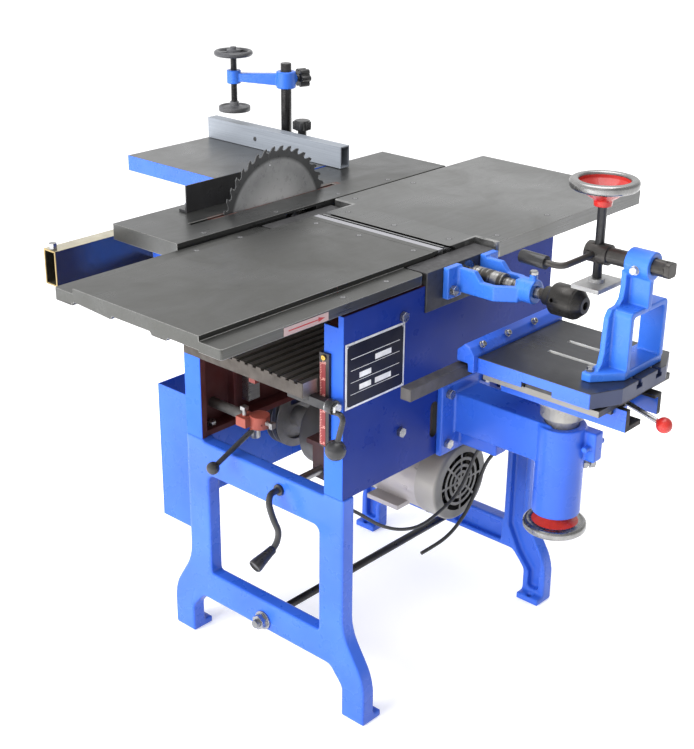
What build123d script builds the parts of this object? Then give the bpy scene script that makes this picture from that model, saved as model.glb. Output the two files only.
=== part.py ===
import os
from math import asin, cos, pi, radians, sin, sqrt, tan

from build123d import *

os.makedirs("parts", exist_ok=True)

# Frame: mm, +Z up, floor at z = 0, +X from crank end to outfeed end, +Y from mortiser side to saw side.

# ---- driving sizes ----
table_z = 826.0          # outfeed, saw and sliding table surface
infeed_z = 825.5         # infeed surface at rest
raised_y = 155.0         # half width of the raised planing surface
ledge_y = 205.0          # half width over the ledges
infeed_x0 = -577.0
outfeed_x1 = 612.0
outfeed_under = 796.0
sp_x, sp_z = 27.0, 788.0  # cutter spindle axis
knife_r = 37.9
lip_r = 38.6
lip_x = -13.0             # joint between the infeed table and its steel lip
head_r = 35.0
body_x = 302.0
body_y = 202.0
plate_t = 12.0
body_z = 450.0
leg_t = 30.0
foot_y = 258.0
blade_r, blade_y = 148.0, 285.0
teeth = 40
motor_x, motor_z = 27.0, 368.0
pulley_y0, pulley_y1 = 221.0, 255.0
belt_y = (230.0, 246.0)
thick_z = 671.0          # thickness table surface at rest
thick_x, thick_y = 346.0, 150.0
slope = 15.0             # infeed ways, degrees
drill_y = -427.0         # mortiser column
crank_y, crank_z = -48.0, 418.0
screw_x = -150.0
lever_x, lever_z = -245.0, 500.0
rail_y0, rail_y1, rail_z0, rail_z1 = 428.0, 463.0, 718.0, 788.0
clamp_x, clamp_y, bar_z = 41.0, -464.0, 882.0
post_x, post_y = 348.0, 570.0
hold_x, hold_y = 287.0, 676.0
run_gap = 0.05


def block(x0, x1, y0, y1, z0, z1, mode=Mode.ADD):
    with Locations(((x0 + x1) / 2, (y0 + y1) / 2, (z0 + z1) / 2)):
        Box(x1 - x0, y1 - y0, z1 - z0, mode=mode)


def round_x(x0, x1, y, z, d, mode=Mode.ADD):
    with Locations(Location(((x0 + x1) / 2, y, z), (0, 90, 0))):
        Cylinder(d / 2, x1 - x0, mode=mode)


def round_y(y0, y1, x, z, d, mode=Mode.ADD):
    with Locations(Location((x, (y0 + y1) / 2, z), (90, 0, 0))):
        Cylinder(d / 2, y1 - y0, mode=mode)


def round_z(z0, z1, x, y, d, mode=Mode.ADD):
    with Locations((x, y, (z0 + z1) / 2)):
        Cylinder(d / 2, z1 - z0, mode=mode)


def ball(x, y, z, d, mode=Mode.ADD):
    with Locations(Location((x, y, z), (90, 0, 0))):
        Sphere(d / 2, mode=mode)


def at(v, points):
    return any(abs(v.X - p[0]) < 0.5 and abs(v.Y - p[1]) < 0.5 for p in points)


def bend_radii(points):
    radii = []
    for p, q, s in zip(points, points[1:], points[2:]):
        u = [b - a for a, b in zip(p, q)]
        v = [b - a for a, b in zip(q, s)]
        lu, lv = sqrt(sum(c * c for c in u)), sqrt(sum(c * c for c in v))
        turn = sum(a * b for a, b in zip(u, v)) / (lu * lv)
        half = asin(sqrt(max(0.0, (1 - turn) / 2)))
        radii.append(0.45 * min(lu, lv) / tan(half))
    return radii


# ================= frame =================
leg_outline = [
    (-foot_y, 0), (-foot_y, 91), (-204, 177), (-204, body_z), (-158, body_z), (-158, 445),
    (158, 445), (158, body_z), (204, body_z), (204, 177), (foot_y, 91), (foot_y, 0),
    (203, 0), (203, 62), (172, 98), (-172, 98), (-203, 62), (-203, 0),
]
leg_splay = [(-foot_y, 91), (-204, 177), (204, 177), (foot_y, 91)]
leg_arch = [(203, 62), (172, 98), (-172, 98), (-203, 62)]
# cored channel down the inner face of each leg
leg_channel = [(193, 438), (193, 184), (243, 99), (243, 22), (216, 22), (216, 60), (186, 96), (158, 150), (158, 438)]
window_top = [(145, 378), (-145, 378)]
window_low = [(145, 160), (-145, 160)]

with BuildPart() as leg_frame_front:
    with BuildSketch(Plane.YZ.offset(-body_x)) as leg_front_face:
        with BuildLine():
            Polyline(*leg_outline, close=True)
        make_face()
        fillet([v for v in leg_front_face.vertices() if at(v, leg_splay)], 110)
        fillet([v for v in leg_front_face.vertices() if at(v, leg_arch)], 22)
        with Locations((0, 269)):
            Rectangle(290, 218, mode=Mode.SUBTRACT)
        fillet([v for v in leg_front_face.vertices() if at(v, window_top)], 14)
        fillet([v for v in leg_front_face.vertices() if at(v, window_low)], 5)
    extrude(amount=leg_t)
    with BuildSketch(Plane.YZ.offset(-288)) as front_channel:
        for side in (-1, 1):
            with BuildLine():
                Polyline(*[(side * y, z) for y, z in leg_channel], close=True)
            make_face()
        fillet(front_channel.vertices(), 7)
    extrude(amount=17, mode=Mode.SUBTRACT)
    block(-288, -272, -135, 135, 388, 433, Mode.SUBTRACT)
    block(-288, -272, -140, 140, 108, 150, Mode.SUBTRACT)
    round_x(-288, -266, crank_y, crank_z, 34)
    round_x(-288, -268, 0, 118, 34)
    block(-302, -252, 203, foot_y, 0, 14)
    block(-302, -252, -foot_y, -203, 0, 14)
    round_x(-310, -260, crank_y, crank_z, 16 + 2 * run_gap, Mode.SUBTRACT)
    round_x(-310, -260, 0, 118, 16.4, Mode.SUBTRACT)
    round_z(-1, 20, -262, 231, 12, Mode.SUBTRACT)
    round_z(-1, 20, -262, -231, 12, Mode.SUBTRACT)
leg_frame_front.part.label = "leg_frame_front"
export_step(leg_frame_front.part, "parts/leg_frame_front.step")

with BuildPart() as leg_frame_rear:
    with BuildSketch(Plane.YZ.offset(body_x - leg_t)) as leg_rear_face:
        with BuildLine():
            Polyline(*leg_outline, close=True)
        make_face()
        fillet([v for v in leg_rear_face.vertices() if at(v, leg_splay)], 110)
        fillet([v for v in leg_rear_face.vertices() if at(v, leg_arch)], 22)
        with Locations((0, 269)):
            Rectangle(290, 218, mode=Mode.SUBTRACT)
        fillet([v for v in leg_rear_face.vertices() if at(v, window_top)], 14)
        fillet([v for v in leg_rear_face.vertices() if at(v, window_low)], 5)
    extrude(amount=leg_t)
    with BuildSketch(Plane.YZ.offset(271)) as rear_channel:
        for side in (-1, 1):
            with BuildLine():
                Polyline(*[(side * y, z) for y, z in leg_channel], close=True)
            make_face()
        fillet(rear_channel.vertices(), 7)
    extrude(amount=17, mode=Mode.SUBTRACT)
    block(272, 288, -135, 135, 388, 433, Mode.SUBTRACT)
    block(272, 288, -140, 140, 108, 150, Mode.SUBTRACT)
    round_x(268, 288, 0, 118, 34)
    block(252, 302, 203, foot_y, 0, 14)
    block(252, 302, -foot_y, -203, 0, 14)
    round_x(260, 310, 0, 118, 16.4, Mode.SUBTRACT)
    round_z(-1, 20, 262, 231, 12, Mode.SUBTRACT)
    round_z(-1, 20, 262, -231, 12, Mode.SUBTRACT)
leg_frame_rear.part.label = "leg_frame_rear"
export_step(leg_frame_rear.part, "parts/leg_frame_rear.step")

with BuildPart() as tie_rod:
    round_x(-326, 326, 0, 118, 16)
tie_rod.part.label = "tie_rod"
export_step(tie_rod.part, "parts/tie_rod.step")

side_outline = [
    (-body_x, body_z), (body_x, body_z), (body_x, outfeed_under), (106, outfeed_under), (106, 742),
    (-90, 742), (-90, 792), (-body_x, 792),
]
rise = tan(radians(slope))
pad_x = (-250.0, -150.0)
foot_half = 28.0


def way_points(cx):
    return [(cx - 46, 752), (cx + 36, 752), (cx + 36, 783 + 36 * rise), (cx - 46, 783 - 46 * rise)]


with BuildPart() as side_plate_right:
    with BuildSketch(Plane.XZ.offset(body_y - plate_t)) as side_right_face:
        with BuildLine():
            Polyline(*side_outline, close=True)
        make_face()
        with Locations((-53, 523)):
            SlotOverall(71, 20, rotation=90, mode=Mode.SUBTRACT)
    extrude(amount=plate_t)
    block(-302, -288, -191, -158, 450, 770)
    block(288, 302, -191, -158, 450, 770)
    block(-289, 289, -191, -160, 450, 462)
    for cx in pad_x:
        with BuildSketch(Plane.XZ.offset(162)):
            with BuildLine():
                Polyline(*way_points(cx), close=True)
            make_face()
        extrude(amount=29)
side_plate_right.part.label = "side_plate_right"
export_step(side_plate_right.part, "parts/side_plate_right.step")

with BuildPart() as side_plate_left:
    with BuildSketch(Plane.XZ.offset(-body_y)):
        with BuildLine():
            Polyline(*side_outline, close=True)
        make_face()
        with Locations((lever_x, lever_z)):
            Circle(10 + run_gap, mode=Mode.SUBTRACT)
    extrude(amount=plate_t)
    block(-302, -288, 158, 191, 450, 770)
    block(288, 302, 158, 191, 450, 770)
    block(-289, 289, 160, 191, 450, 462)
    block(-204, -196, 172, 191, 461, 620)
    for cx in pad_x:
        with BuildSketch(Plane.XZ.offset(-191)):
            with BuildLine():
                Polyline(*way_points(cx), close=True)
            make_face()
        extrude(amount=29)
side_plate_left.part.label = "side_plate_left"
export_step(side_plate_left.part, "parts/side_plate_left.step")

with BuildPart() as guide_bars:
    for gx in (-150, 150):
        block(gx - 15, gx + 15, -190, -172, 480, 742)
        block(gx - 15, gx + 15, 172, 190, 480, 742)
guide_bars.part.label = "guide_bars"
export_step(guide_bars.part, "parts/guide_bars.step")

with BuildPart() as lift_bridge:
    block(-194, -112, -190, -12, 462, 472)
    block(-194, -182, -68, -28, 398, 463)
    round_x(-200, -178, crank_y, crank_z, 16 + 2 * run_gap, Mode.SUBTRACT)
    round_z(455, 480, screw_x, crank_y, 20 + 2 * run_gap, Mode.SUBTRACT)
lift_bridge.part.label = "lift_bridge"
export_step(lift_bridge.part, "parts/lift_bridge.step")

with BuildPart() as motor_plate:
    block(-56, 110, -190, 190, 462, 470)
motor_plate.part.label = "motor_plate"
export_step(motor_plate.part, "parts/motor_plate.step")

with BuildPart() as belt_guard:
    block(-282, -280, 207, 306, 227, 516)
    block(-281, 190, 304, 306, 227, 516)
    block(188, 190, 207, 306, 227, 516)
    block(-282, -280, 202, 208, 458, 512)
    block(-281, -246, 202, 204, 458, 512)
    block(188, 190, 202, 208, 458, 512)
    block(154, 189, 202, 204, 458, 512)
belt_guard.part.label = "belt_guard"
export_step(belt_guard.part, "parts/belt_guard.step")


bolt_heads = (
    [((-150, -202, z), (0, -1, 0), 17, 8) for z in (752, 532)]
    + [((150, -202, z), (0, -1, 0), 17, 8) for z in (752, 532)]
    + [((x, -215, z), (0, -1, 0), 17, 9) for x in (-27, 81) for z in (570, 470)]
    + [((x, -218, 774), (0, -1, 0), 17, 9) for x in (-34, 88)]
    + [((x, y, 462), (0, 0, 1), 17, 9) for x in (-262, 262) for y in (-176, 176)]
    + [((-403, 446, rail_z1), (0, 0, 1), 14, 12)]
    + [((-306, 0, 118), (-1, 0, 0), 27, 12), ((306, 0, 118), (1, 0, 0), 27, 12)]
)
with BuildPart() as frame_bolts:
    # tie rod washers
    round_x(-306, -302, 0, 118, 38)
    round_x(302, 306, 0, 118, 38)
    for spot, facing, flats, height in bolt_heads:
        with BuildSketch(Plane(origin=spot, z_dir=facing)):
            RegularPolygon(flats / 2, 6, major_radius=False)
        extrude(amount=height)
    round_x(-330, -290, 0, 118, 16.05, Mode.SUBTRACT)
    round_x(290, 330, 0, 118, 16.05, Mode.SUBTRACT)
frame_bolts.part.label = "frame_bolts"
export_step(frame_bolts.part, "parts/frame_bolts.step")

# ================= cutter spindle =================
with BuildPart() as bearing_blocks:
    for side in (-1, 1):
        y0, y1 = sorted((side * 157, side * 205))
        block(-90, 106, y0, y1, 742, 816)
    round_y(-210, 210, sp_x, sp_z, 34, Mode.SUBTRACT)
    round_y(-206, -190, sp_x, sp_z, 47, Mode.SUBTRACT)
    round_y(190, 206, sp_x, sp_z, 47, Mode.SUBTRACT)
    for rx in (-35, 89):
        round_y(-210, 210, rx, 766, 16 + 2 * run_gap, Mode.SUBTRACT)
bearing_blocks.part.label = "bearing_blocks"
export_step(bearing_blocks.part, "parts/bearing_blocks.step")

with BuildPart() as spindle_bearings:
    round_y(-203, -191, sp_x, sp_z, 46.98)
    round_y(191, 203, sp_x, sp_z, 46.98)
    round_y(-210, 210, sp_x, sp_z, 25 + 2 * run_gap, Mode.SUBTRACT)
spindle_bearings.part.label = "spindle_bearings"
export_step(spindle_bearings.part, "parts/spindle_bearings.step")

groove_outer, groove_inner, groove_depth = 13.6, 9.0, 10.0


spindle_r, motor_pulley_r = 30.0, 67.0

with BuildPart() as cutter_spindle:
    round_y(-418, -373, sp_x, sp_z, 15.8)
    round_y(-374, -316, sp_x, sp_z, 20)
    round_y(-317, -287, sp_x, sp_z, 24)
    round_y(-288, -221, sp_x, sp_z, 36)
    round_y(-222, -205, sp_x, sp_z, 24)
    round_y(-206, -180, sp_x, sp_z, 25)
    round_y(-181, -152, sp_x, sp_z, 28)
    round_y(-153, 153, sp_x, sp_z, 30)
    round_y(152, 181, sp_x, sp_z, 28)
    round_y(180, 222, sp_x, sp_z, 25)
    round_y(pulley_y0, pulley_y1, sp_x, sp_z, 2 * spindle_r)
    round_y(254, 274, sp_x, sp_z, 25)
    round_y(273, 318, sp_x, sp_z, 20)
    for y in belt_y:
        with BuildSketch(Plane(origin=(sp_x, y, sp_z), x_dir=(1, 0, 0), z_dir=(0, 0, 1))):
            with BuildLine():
                Polyline((spindle_r + 0.5, -groove_outer / 2 - 0.12), (spindle_r + 0.5, groove_outer / 2 + 0.12),
                         (spindle_r - groove_depth, groove_inner / 2), (spindle_r - groove_depth, -groove_inner / 2), close=True)
            make_face()
        revolve(axis=Axis((sp_x, 0, sp_z), (0, 1, 0)), revolution_arc=360, mode=Mode.SUBTRACT)
cutter_spindle.part.label = "cutter_spindle"
export_step(cutter_spindle.part, "parts/cutter_spindle.step")

with BuildPart() as cutter_block:
    round_y(-150, 150, sp_x, sp_z, 2 * head_r)
    round_y(-151, 151, sp_x, sp_z, 30.02, Mode.SUBTRACT)
    for k in range(3):
        with Locations(Location((sp_x, 0, sp_z), (0, 120 * k, 0))):
            with Locations((0, 0, 31)):
                Box(10.04, 302, 20, mode=Mode.SUBTRACT)
cutter_block.part.label = "cutter_block"
export_step(cutter_block.part, "parts/cutter_block.step")

with BuildPart() as cutter_knives:
    for k in range(3):
        with Locations(Location((sp_x, 0, sp_z), (0, 120 * k, 0))):
            with Locations((-3.5, 0, (21.02 + knife_r - 0.2) / 2)):
                Box(3, 300, knife_r - 0.2 - 21.02)
            with Locations((1.5, 0, (21.02 + 33) / 2)):
                Box(7, 300, 33 - 21.02)
cutter_knives.part.label = "cutter_knives"
export_step(cutter_knives.part, "parts/cutter_knives.step")

blade_points = []
for k in range(teeth):
    a = 2 * pi * k / teeth
    step = 2 * pi / teeth
    for frac, rad in ((0.0, blade_r), (0.30, blade_r - 1.6), (0.62, blade_r - 9.0), (0.86, blade_r - 11.0), (0.97, blade_r - 9.0)):
        t = a + frac * step
        blade_points.append((sp_x + rad * sin(-t), sp_z + rad * cos(-t)))

with BuildPart() as saw_blade:
    with BuildSketch(Plane.XZ.offset(-blade_y - 1.1)):
        with BuildLine():
            Polyline(*[(x, z) for x, z in reversed(blade_points)], close=True)
        make_face()
        with Locations((sp_x, sp_z)):
            Circle(10.02, mode=Mode.SUBTRACT)
        # expansion slots from every tenth gullet
        for k in range(4):
            t = 2 * pi * (10 * k + 0.86) / teeth
            with Locations(Location((sp_x + 127 * sin(-t), sp_z + 127 * cos(-t)), 360 / (2 * pi) * t)):
                Rectangle(1.6, 24, mode=Mode.SUBTRACT)
            with Locations((sp_x + 115 * sin(-t), sp_z + 115 * cos(-t))):
                Circle(2.6, mode=Mode.SUBTRACT)
    extrude(amount=2.2)
saw_blade.part.label = "saw_blade"
export_step(saw_blade.part, "parts/saw_blade.step")

with BuildPart() as blade_flanges:
    round_y(274, blade_y - 1.1, sp_x, sp_z, 58)
    round_y(blade_y + 1.1, 296, sp_x, sp_z, 58)
    with BuildSketch(Plane.XZ.offset(-312)):
        with Locations((sp_x, sp_z)):
            RegularPolygon(15, 6, major_radius=False)
    extrude(amount=16)
    round_y(270, 320, sp_x, sp_z, 20.02, Mode.SUBTRACT)
    with Locations((sp_x, 296, sp_z)):
        Box(60, 0.4, 60, mode=Mode.SUBTRACT)
blade_flanges.part.label = "blade_flanges"
export_step(blade_flanges.part, "parts/blade_flanges.step")

with BuildPart() as drill_chuck:
    with BuildSketch(Plane(origin=(sp_x, 0, sp_z), x_dir=(1, 0, 0), z_dir=(0, 0, 1))):
        with BuildLine():
            Polyline((8, -374), (15, -374), (17, -376), (17, -389), (27, -394), (28.5, -397), (28.5, -437), (27, -439),
                     (27, -441), (25.5, -443), (15, -455), (7, -455), (7, -427), (8, -424), close=True)
        make_face()
    revolve(axis=Axis((sp_x, 0, sp_z), (0, 1, 0)), revolution_arc=360)
    for k in range(3):
        with Locations(Location((sp_x, -404, sp_z), (0, 120 * k + 40, 0))):
            with Locations((0, 0, 27)):
                Cylinder(3.5, 14, mode=Mode.SUBTRACT)
drill_chuck.part.label = "drill_chuck"
export_step(drill_chuck.part, "parts/drill_chuck.step")

yoke_outer = [(-46, -205), (-46, -218), (-22, -218), (-19, -222), (-19, -296), (6, -331), (48, -331), (73, -296),
              (73, -222), (76, -218), (100, -218), (100, -205)]
yoke_window = [(-7, -200), (-7, -290), (14, -319), (40, -319), (61, -290), (61, -200)]
with BuildPart() as drill_yoke:
    with BuildSketch(Plane.XY.offset(768)):
        with BuildLine():
            Polyline(*yoke_outer, close=True)
        make_face()
        with BuildLine():
            Polyline(*yoke_window, close=True)
        make_face(mode=Mode.SUBTRACT)
    extrude(amount=44)
    # the walls step down from the ears towards the nose
    with BuildSketch(Plane.YZ.offset(-60)):
        with BuildLine():
            Polyline((-252, 820), (-252, 812), (-268, 795), (-345, 795), (-345, 820), close=True)
        make_face()
    extrude(amount=180, mode=Mode.SUBTRACT)
    block(-46, -7, -218, -205, 758, 816)
    block(61, 100, -218, -205, 758, 816)
    round_y(-355, -325, sp_x, sp_z, 44)
    round_z(800, 819, sp_x, -347, 14)
    block(15, 39, -322, -317, 770, 806)
    round_y(-370, -310, sp_x, sp_z, 20 + 2 * run_gap, Mode.SUBTRACT)
drill_yoke.part.label = "drill_yoke"
export_step(drill_yoke.part, "parts/drill_yoke.step")

# ================= planer tables =================
with BuildPart() as infeed_table:
    block(infeed_x0, lip_x, -raised_y, raised_y, 798, infeed_z)
    block(infeed_x0, -95, raised_y - 1, ledge_y, 798, 816)
    block(infeed_x0, -95, -ledge_y, -raised_y + 1, 798, 816)
    # relief under the crank end, with cast bosses left standing
    block(infeed_x0 - 1, infeed_x0 + 60, -154, 154, 797, 801.5, Mode.SUBTRACT)
    with BuildSketch(Plane.YZ.offset(infeed_x0)):
        for boss in ([(154, 802.5), (154, 801), (58, 795.5), (53, 802.5)], [(-39, 802.5), (-44, 795.5), (-78, 795.5), (-84, 802.5)]):
            with BuildLine():
                Polyline(*boss, close=True)
            make_face()
    extrude(amount=60)
    block(infeed_x0, infeed_x0 + 42, 159, ledge_y, 793.5, 799)
    for ry in (-128, 0, 128):
        block(infeed_x0 + 78, -309, ry - 6, ry + 6, 776, 799)
    for cx in pad_x:
        for side in (-1, 1):
            with BuildSketch(Plane.XZ.offset(164 if side < 0 else -188)):
                with BuildLine():
                    Polyline((cx - foot_half, 799), (cx + foot_half, 799), (cx + foot_half, 783.3 + foot_half * rise),
                             (cx - foot_half, 783.3 - foot_half * rise), close=True)
                make_face()
            extrude(amount=24)
    fillet([e for e in infeed_table.edges().filter_by(Axis.Z) if abs(e.center().X + 95) < 0.5 and abs(abs(e.center().Y) - ledge_y) < 0.5], 14)
    fillet([e for e in infeed_table.edges().filter_by(Axis.Z) if abs(e.center().X - infeed_x0) < 0.5 and abs(abs(e.center().Y) - ledge_y) < 0.5], 4)
infeed_table.part.label = "infeed_table"
export_step(infeed_table.part, "parts/infeed_table.step")

with BuildPart() as infeed_lip:
    with BuildSketch(Plane.XZ.offset(raised_y)):
        with BuildLine():
            Polyline((lip_x, infeed_z), (16, infeed_z), (lip_x, sp_z + (39 - (sp_x - lip_x) * cos(radians(70))) / sin(radians(70))), close=True)
        make_face()
    extrude(amount=-2 * raised_y)
infeed_lip.part.label = "infeed_lip"
export_step(infeed_lip.part, "parts/infeed_lip.step")

with BuildPart() as outfeed_table:
    block(27, 113, -raised_y, raised_y, outfeed_under, table_z)
    block(112, outfeed_x1, -206, 206, outfeed_under, table_z)
    for ry in (-128, 0, 128):
        block(309, outfeed_x1 - 20, ry - 6, ry + 6, 774, 797)
    fillet([e for e in outfeed_table.edges().filter_by(Axis.Z) if abs(e.center().X - 112) < 0.5 and abs(abs(e.center().Y) - 206) < 0.5], 10)
    fillet([e for e in outfeed_table.edges().filter_by(Axis.Z) if abs(e.center().X - outfeed_x1) < 0.5], 4)
    round_y(-160, 160, sp_x, sp_z, 2 * lip_r, Mode.SUBTRACT)
outfeed_table.part.label = "outfeed_table"
export_step(outfeed_table.part, "parts/outfeed_table.step")

with BuildPart() as saw_table:
    block(-299, 483, 211, 395, 794, table_z)
    arm_points = [(202, 640), (202, 784), (213, 795), (398, 795), (398, 786), (rail_y0, 786), (rail_y0, 722), (380, 722)]
    for ax in (-170, 262):
        with BuildSketch(Plane.YZ.offset(ax - 9)):
            with BuildLine():
                Polyline(*arm_points, close=True)
            make_face()
        extrude(amount=18)
        block(ax - 26, ax + 26, 202, 212, 642, 770)
    block(-202, 200, 280, 290, 780, 840, Mode.SUBTRACT)
    block(-16, 70, 200, 332, 780, 820.5, Mode.SUBTRACT)
saw_table.part.label = "saw_table"
export_step(saw_table.part, "parts/saw_table.step")

with BuildPart() as rip_plate:
    block(-158, 52, 343, 346, table_z + 0.3, 881)
    block(-158, -124, 345, 366, table_z + 0.3, table_z + 5)
    round_z(table_z + 4, table_z + 14, -141, 357, 14)
rip_plate.part.label = "rip_plate"
export_step(rip_plate.part, "parts/rip_plate.step")

with BuildPart() as slide_rail:
    block(-413, 500, rail_y0, rail_y1, rail_z0, rail_z1)
    block(-420, 510, rail_y0 + 3, rail_y1 - 3, rail_z0 + 3, rail_z1 - 3, Mode.SUBTRACT)
slide_rail.part.label = "slide_rail"
export_step(slide_rail.part, "parts/slide_rail.step")

with BuildPart() as sliding_table:
    block(54, 372, 400, 781, 792, table_z + 0.5)
    block(66, 360, 414, 769, 780, 816, Mode.SUBTRACT)
    block(60, 366, rail_y1 + 0.6, rail_y1 + 16, 706, 817)
    block(60, 366, rail_y0 + 2, rail_y1 + 16, 706, rail_z0 - 0.6)
    round_z(814, 830, 348, 612, 12 + 2 * run_gap, Mode.SUBTRACT)
sliding_table.part.label = "sliding_table"
export_step(sliding_table.part, "parts/sliding_table.step")

with BuildPart() as mitre_fence:
    block(296, 324, 354, 778, 827.3, 875)
    block(299, 321, 350, 790, 830.3, 872, Mode.SUBTRACT)
    block(323, 372, 480, 640, 827.3, 839)
    round_z(817, 828, 348, 612, 12)
    round_z(838, 848, 348, 612, 20)
    round_z(838, 862, post_x, post_y, 36)
    round_z(827, 870, post_x, post_y, 24 + 2 * run_gap, Mode.SUBTRACT)
    round_z(827, 845, 348, 520, 10 + 2 * run_gap, Mode.SUBTRACT)
mitre_fence.part.label = "mitre_fence"
export_step(mitre_fence.part, "parts/mitre_fence.step")

with BuildPart() as fence_knob:
    round_z(828, 890, 348, 520, 10)
    round_z(839.3, 882, 348, 520, 20)
    round_z(878, 900, 348, 520, 34)
    for k in range(5):
        a = 2 * pi * k / 5
        round_z(880, 898, 348 + 15 * cos(a), 520 + 15 * sin(a), 14)
fence_knob.part.label = "fence_knob"
export_step(fence_knob.part, "parts/fence_knob.step")

hold_dx, hold_dy = hold_x - post_x, hold_y - post_y
hold_len = sqrt(hold_dx ** 2 + hold_dy ** 2)
arm_dir = (hold_dx / hold_len, hold_dy / hold_len)
knob_dir = (0.95, -0.312)
with BuildPart() as hold_post:
    round_z(828, 1021, post_x, post_y, 24)
hold_post.part.label = "hold_post"
export_step(hold_post.part, "parts/hold_post.step")

with BuildPart() as hold_arm:
    with BuildSketch(Plane(origin=(post_x, post_y, 0), x_dir=(arm_dir[0], arm_dir[1], 0), z_dir=(arm_dir[1], -arm_dir[0], 0))):
        with BuildLine():
            Polyline((0, 970), (hold_len, 976), (hold_len, 993), (0, 998), close=True)
        make_face()
    extrude(amount=9, both=True)
    round_z(966, 1003, post_x, post_y, 44)
    round_z(970, 1000, hold_x, hold_y, 32)
    round_z(960, 1010, post_x, post_y, 24 + 2 * run_gap, Mode.SUBTRACT)
    round_z(960, 1010, hold_x, hold_y, 14 + 2 * run_gap, Mode.SUBTRACT)
    with BuildSketch(Plane(origin=(post_x + 18 * knob_dir[0], post_y + 18 * knob_dir[1], 985), z_dir=(knob_dir[0], knob_dir[1], 0))):
        Circle(10)
    extrude(amount=7)
    round_z(960, 1010, post_x, post_y, 24 + 2 * run_gap, Mode.SUBTRACT)
hold_arm.part.label = "hold_arm"
export_step(hold_arm.part, "parts/hold_arm.step")

knob_lobes = [(15 * cos(radians(60 * k)), 15 * sin(radians(60 * k))) for k in range(6)]
with BuildPart() as star_knob:
    with BuildSketch(Plane(origin=(post_x + 25.4 * knob_dir[0], post_y + 25.4 * knob_dir[1], 985), z_dir=(knob_dir[0], knob_dir[1], 0))):
        Circle(9)
    extrude(amount=7)
    with BuildSketch(Plane(origin=(post_x + 31 * knob_dir[0], post_y + 31 * knob_dir[1], 985), z_dir=(knob_dir[0], knob_dir[1], 0))):
        Circle(16)
        with Locations(*knob_lobes):
            Circle(6.5)
    extrude(amount=23)
star_knob.part.label = "star_knob"
export_step(star_knob.part, "parts/star_knob.step")

with BuildPart() as hold_screw:
    round_z(929.3, 1052, hold_x, hold_y, 14)
    round_z(1030, 1046, hold_x, hold_y, 30)
    round_z(1034, 1037, hold_x, hold_y, 72)
    with Locations((hold_x, hold_y, 1038)):
        Torus(38, 6)
    for k in range(3):
        with Locations(Location((hold_x, hold_y, 1038), (0, 0, 120 * k + 15))):
            with Locations((19, 0, 0)):
                Box(38, 11, 7)
hold_screw.part.label = "hold_screw"
export_step(hold_screw.part, "parts/hold_screw.step")

with BuildPart() as hold_pad:
    with BuildSketch(Plane(origin=(hold_x, hold_y, 0), x_dir=(1, 0, 0), z_dir=(0, -1, 0))):
        with BuildLine():
            Polyline((0, 929), (10, 929), (11, 919), (29, 916), (33, 919), (36, 918), (36, 908), (30, 908), (12, 911), (0, 911), close=True)
        make_face()
    revolve(axis=Axis((hold_x, hold_y, 0), (0, 0, 1)), revolution_arc=360)
hold_pad.part.label = "hold_pad"
export_step(hold_pad.part, "parts/hold_pad.step")

# ================= thicknesser =================
pitch, land = 20.0, 12.0
y = -thick_y
groove_profile = [(-thick_y, thick_z - 27), (-thick_y, thick_z)]
while y + pitch <= thick_y + 0.01:
    groove_profile += [(y + land, thick_z), (y + land, thick_z - 4)]
    if y + pitch < thick_y - 0.01:
        groove_profile += [(y + pitch, thick_z - 4), (y + pitch, thick_z)]
    else:
        groove_profile += [(thick_y, thick_z - 4)]
    y += pitch
groove_profile += [(thick_y, thick_z - 27)]
thick_under = thick_z - 27
lock_x, lock_z = -322.0, thick_under - 8
with BuildPart() as thickness_table:
    with BuildSketch(Plane.YZ.offset(-thick_x)):
        with BuildLine():
            Polyline(*groove_profile, close=True)
        make_face()
    extrude(amount=2 * thick_x)
    for gx in (-150, 150):
        for side in (-1, 1):
            y0, y1 = sorted((side * (thick_y - 1), side * 186))
            block(gx - 30, gx + 30, y0, y1, thick_z - 56, thick_z - 5)
            y0, y1 = sorted((side * 171.5, side * 187))
            block(gx - 15.5, gx + 15.5, y0, y1, thick_z - 60, thick_z, Mode.SUBTRACT)
            y0, y1 = sorted((side * 120, side * 160))
            block(gx - 30, gx + 30, y0, y1, thick_z - 56, thick_under + 1)
    block(-320, 320, -8, 8, thick_under - 24, thick_under + 1)
    round_z(505, thick_under + 1, screw_x, crank_y, 44)
    round_z(500, thick_z - 7, screw_x, crank_y, 20 + 2 * run_gap, Mode.SUBTRACT)
    block(lock_x - 8, lock_x + 8, -187, -98, lock_z - 8, lock_z + 8)
    block(lock_x - 9, lock_x + 9, -thick_y + 2, -98, lock_z, thick_under + 1)
    round_y(-209, -186, lock_x, lock_z, 10)
thickness_table.part.label = "thickness_table"
export_step(thickness_table.part, "parts/thickness_table.step")

lock_route = [(lock_x - 2, -196, lock_z - 7), (lock_x - 2, -225, lock_z - 8), (lock_x - 12, -217, lock_z - 64)]
with BuildPart() as lock_lever:
    with BuildLine() as lock_line:
        FilletPolyline(*lock_route, radius=11)
    with BuildSketch(Plane(origin=lock_route[0], z_dir=tuple(q - p for p, q in zip(lock_route[0], lock_route[1])))):
        Circle(5)
    sweep(path=lock_line.line)
    round_y(-203, -189, lock_x, lock_z, 26)
    ball(lock_x - 13, -216, lock_z - 70, 37)
    round_y(-230, -180, lock_x, lock_z, 10 + 2 * run_gap, Mode.SUBTRACT)
lock_lever.part.label = "lock_lever"
export_step(lock_lever.part, "parts/lock_lever.step")

with BuildPart() as thickness_scale:
    block(-308, -302, -175, -153, 545, 720)
    with Locations(Location((-309, -164, 712), (0, 90, 0))):
        Cylinder(5, 3)
thickness_scale.part.label = "thickness_scale"
export_step(thickness_scale.part, "parts/thickness_scale.step")

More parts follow.
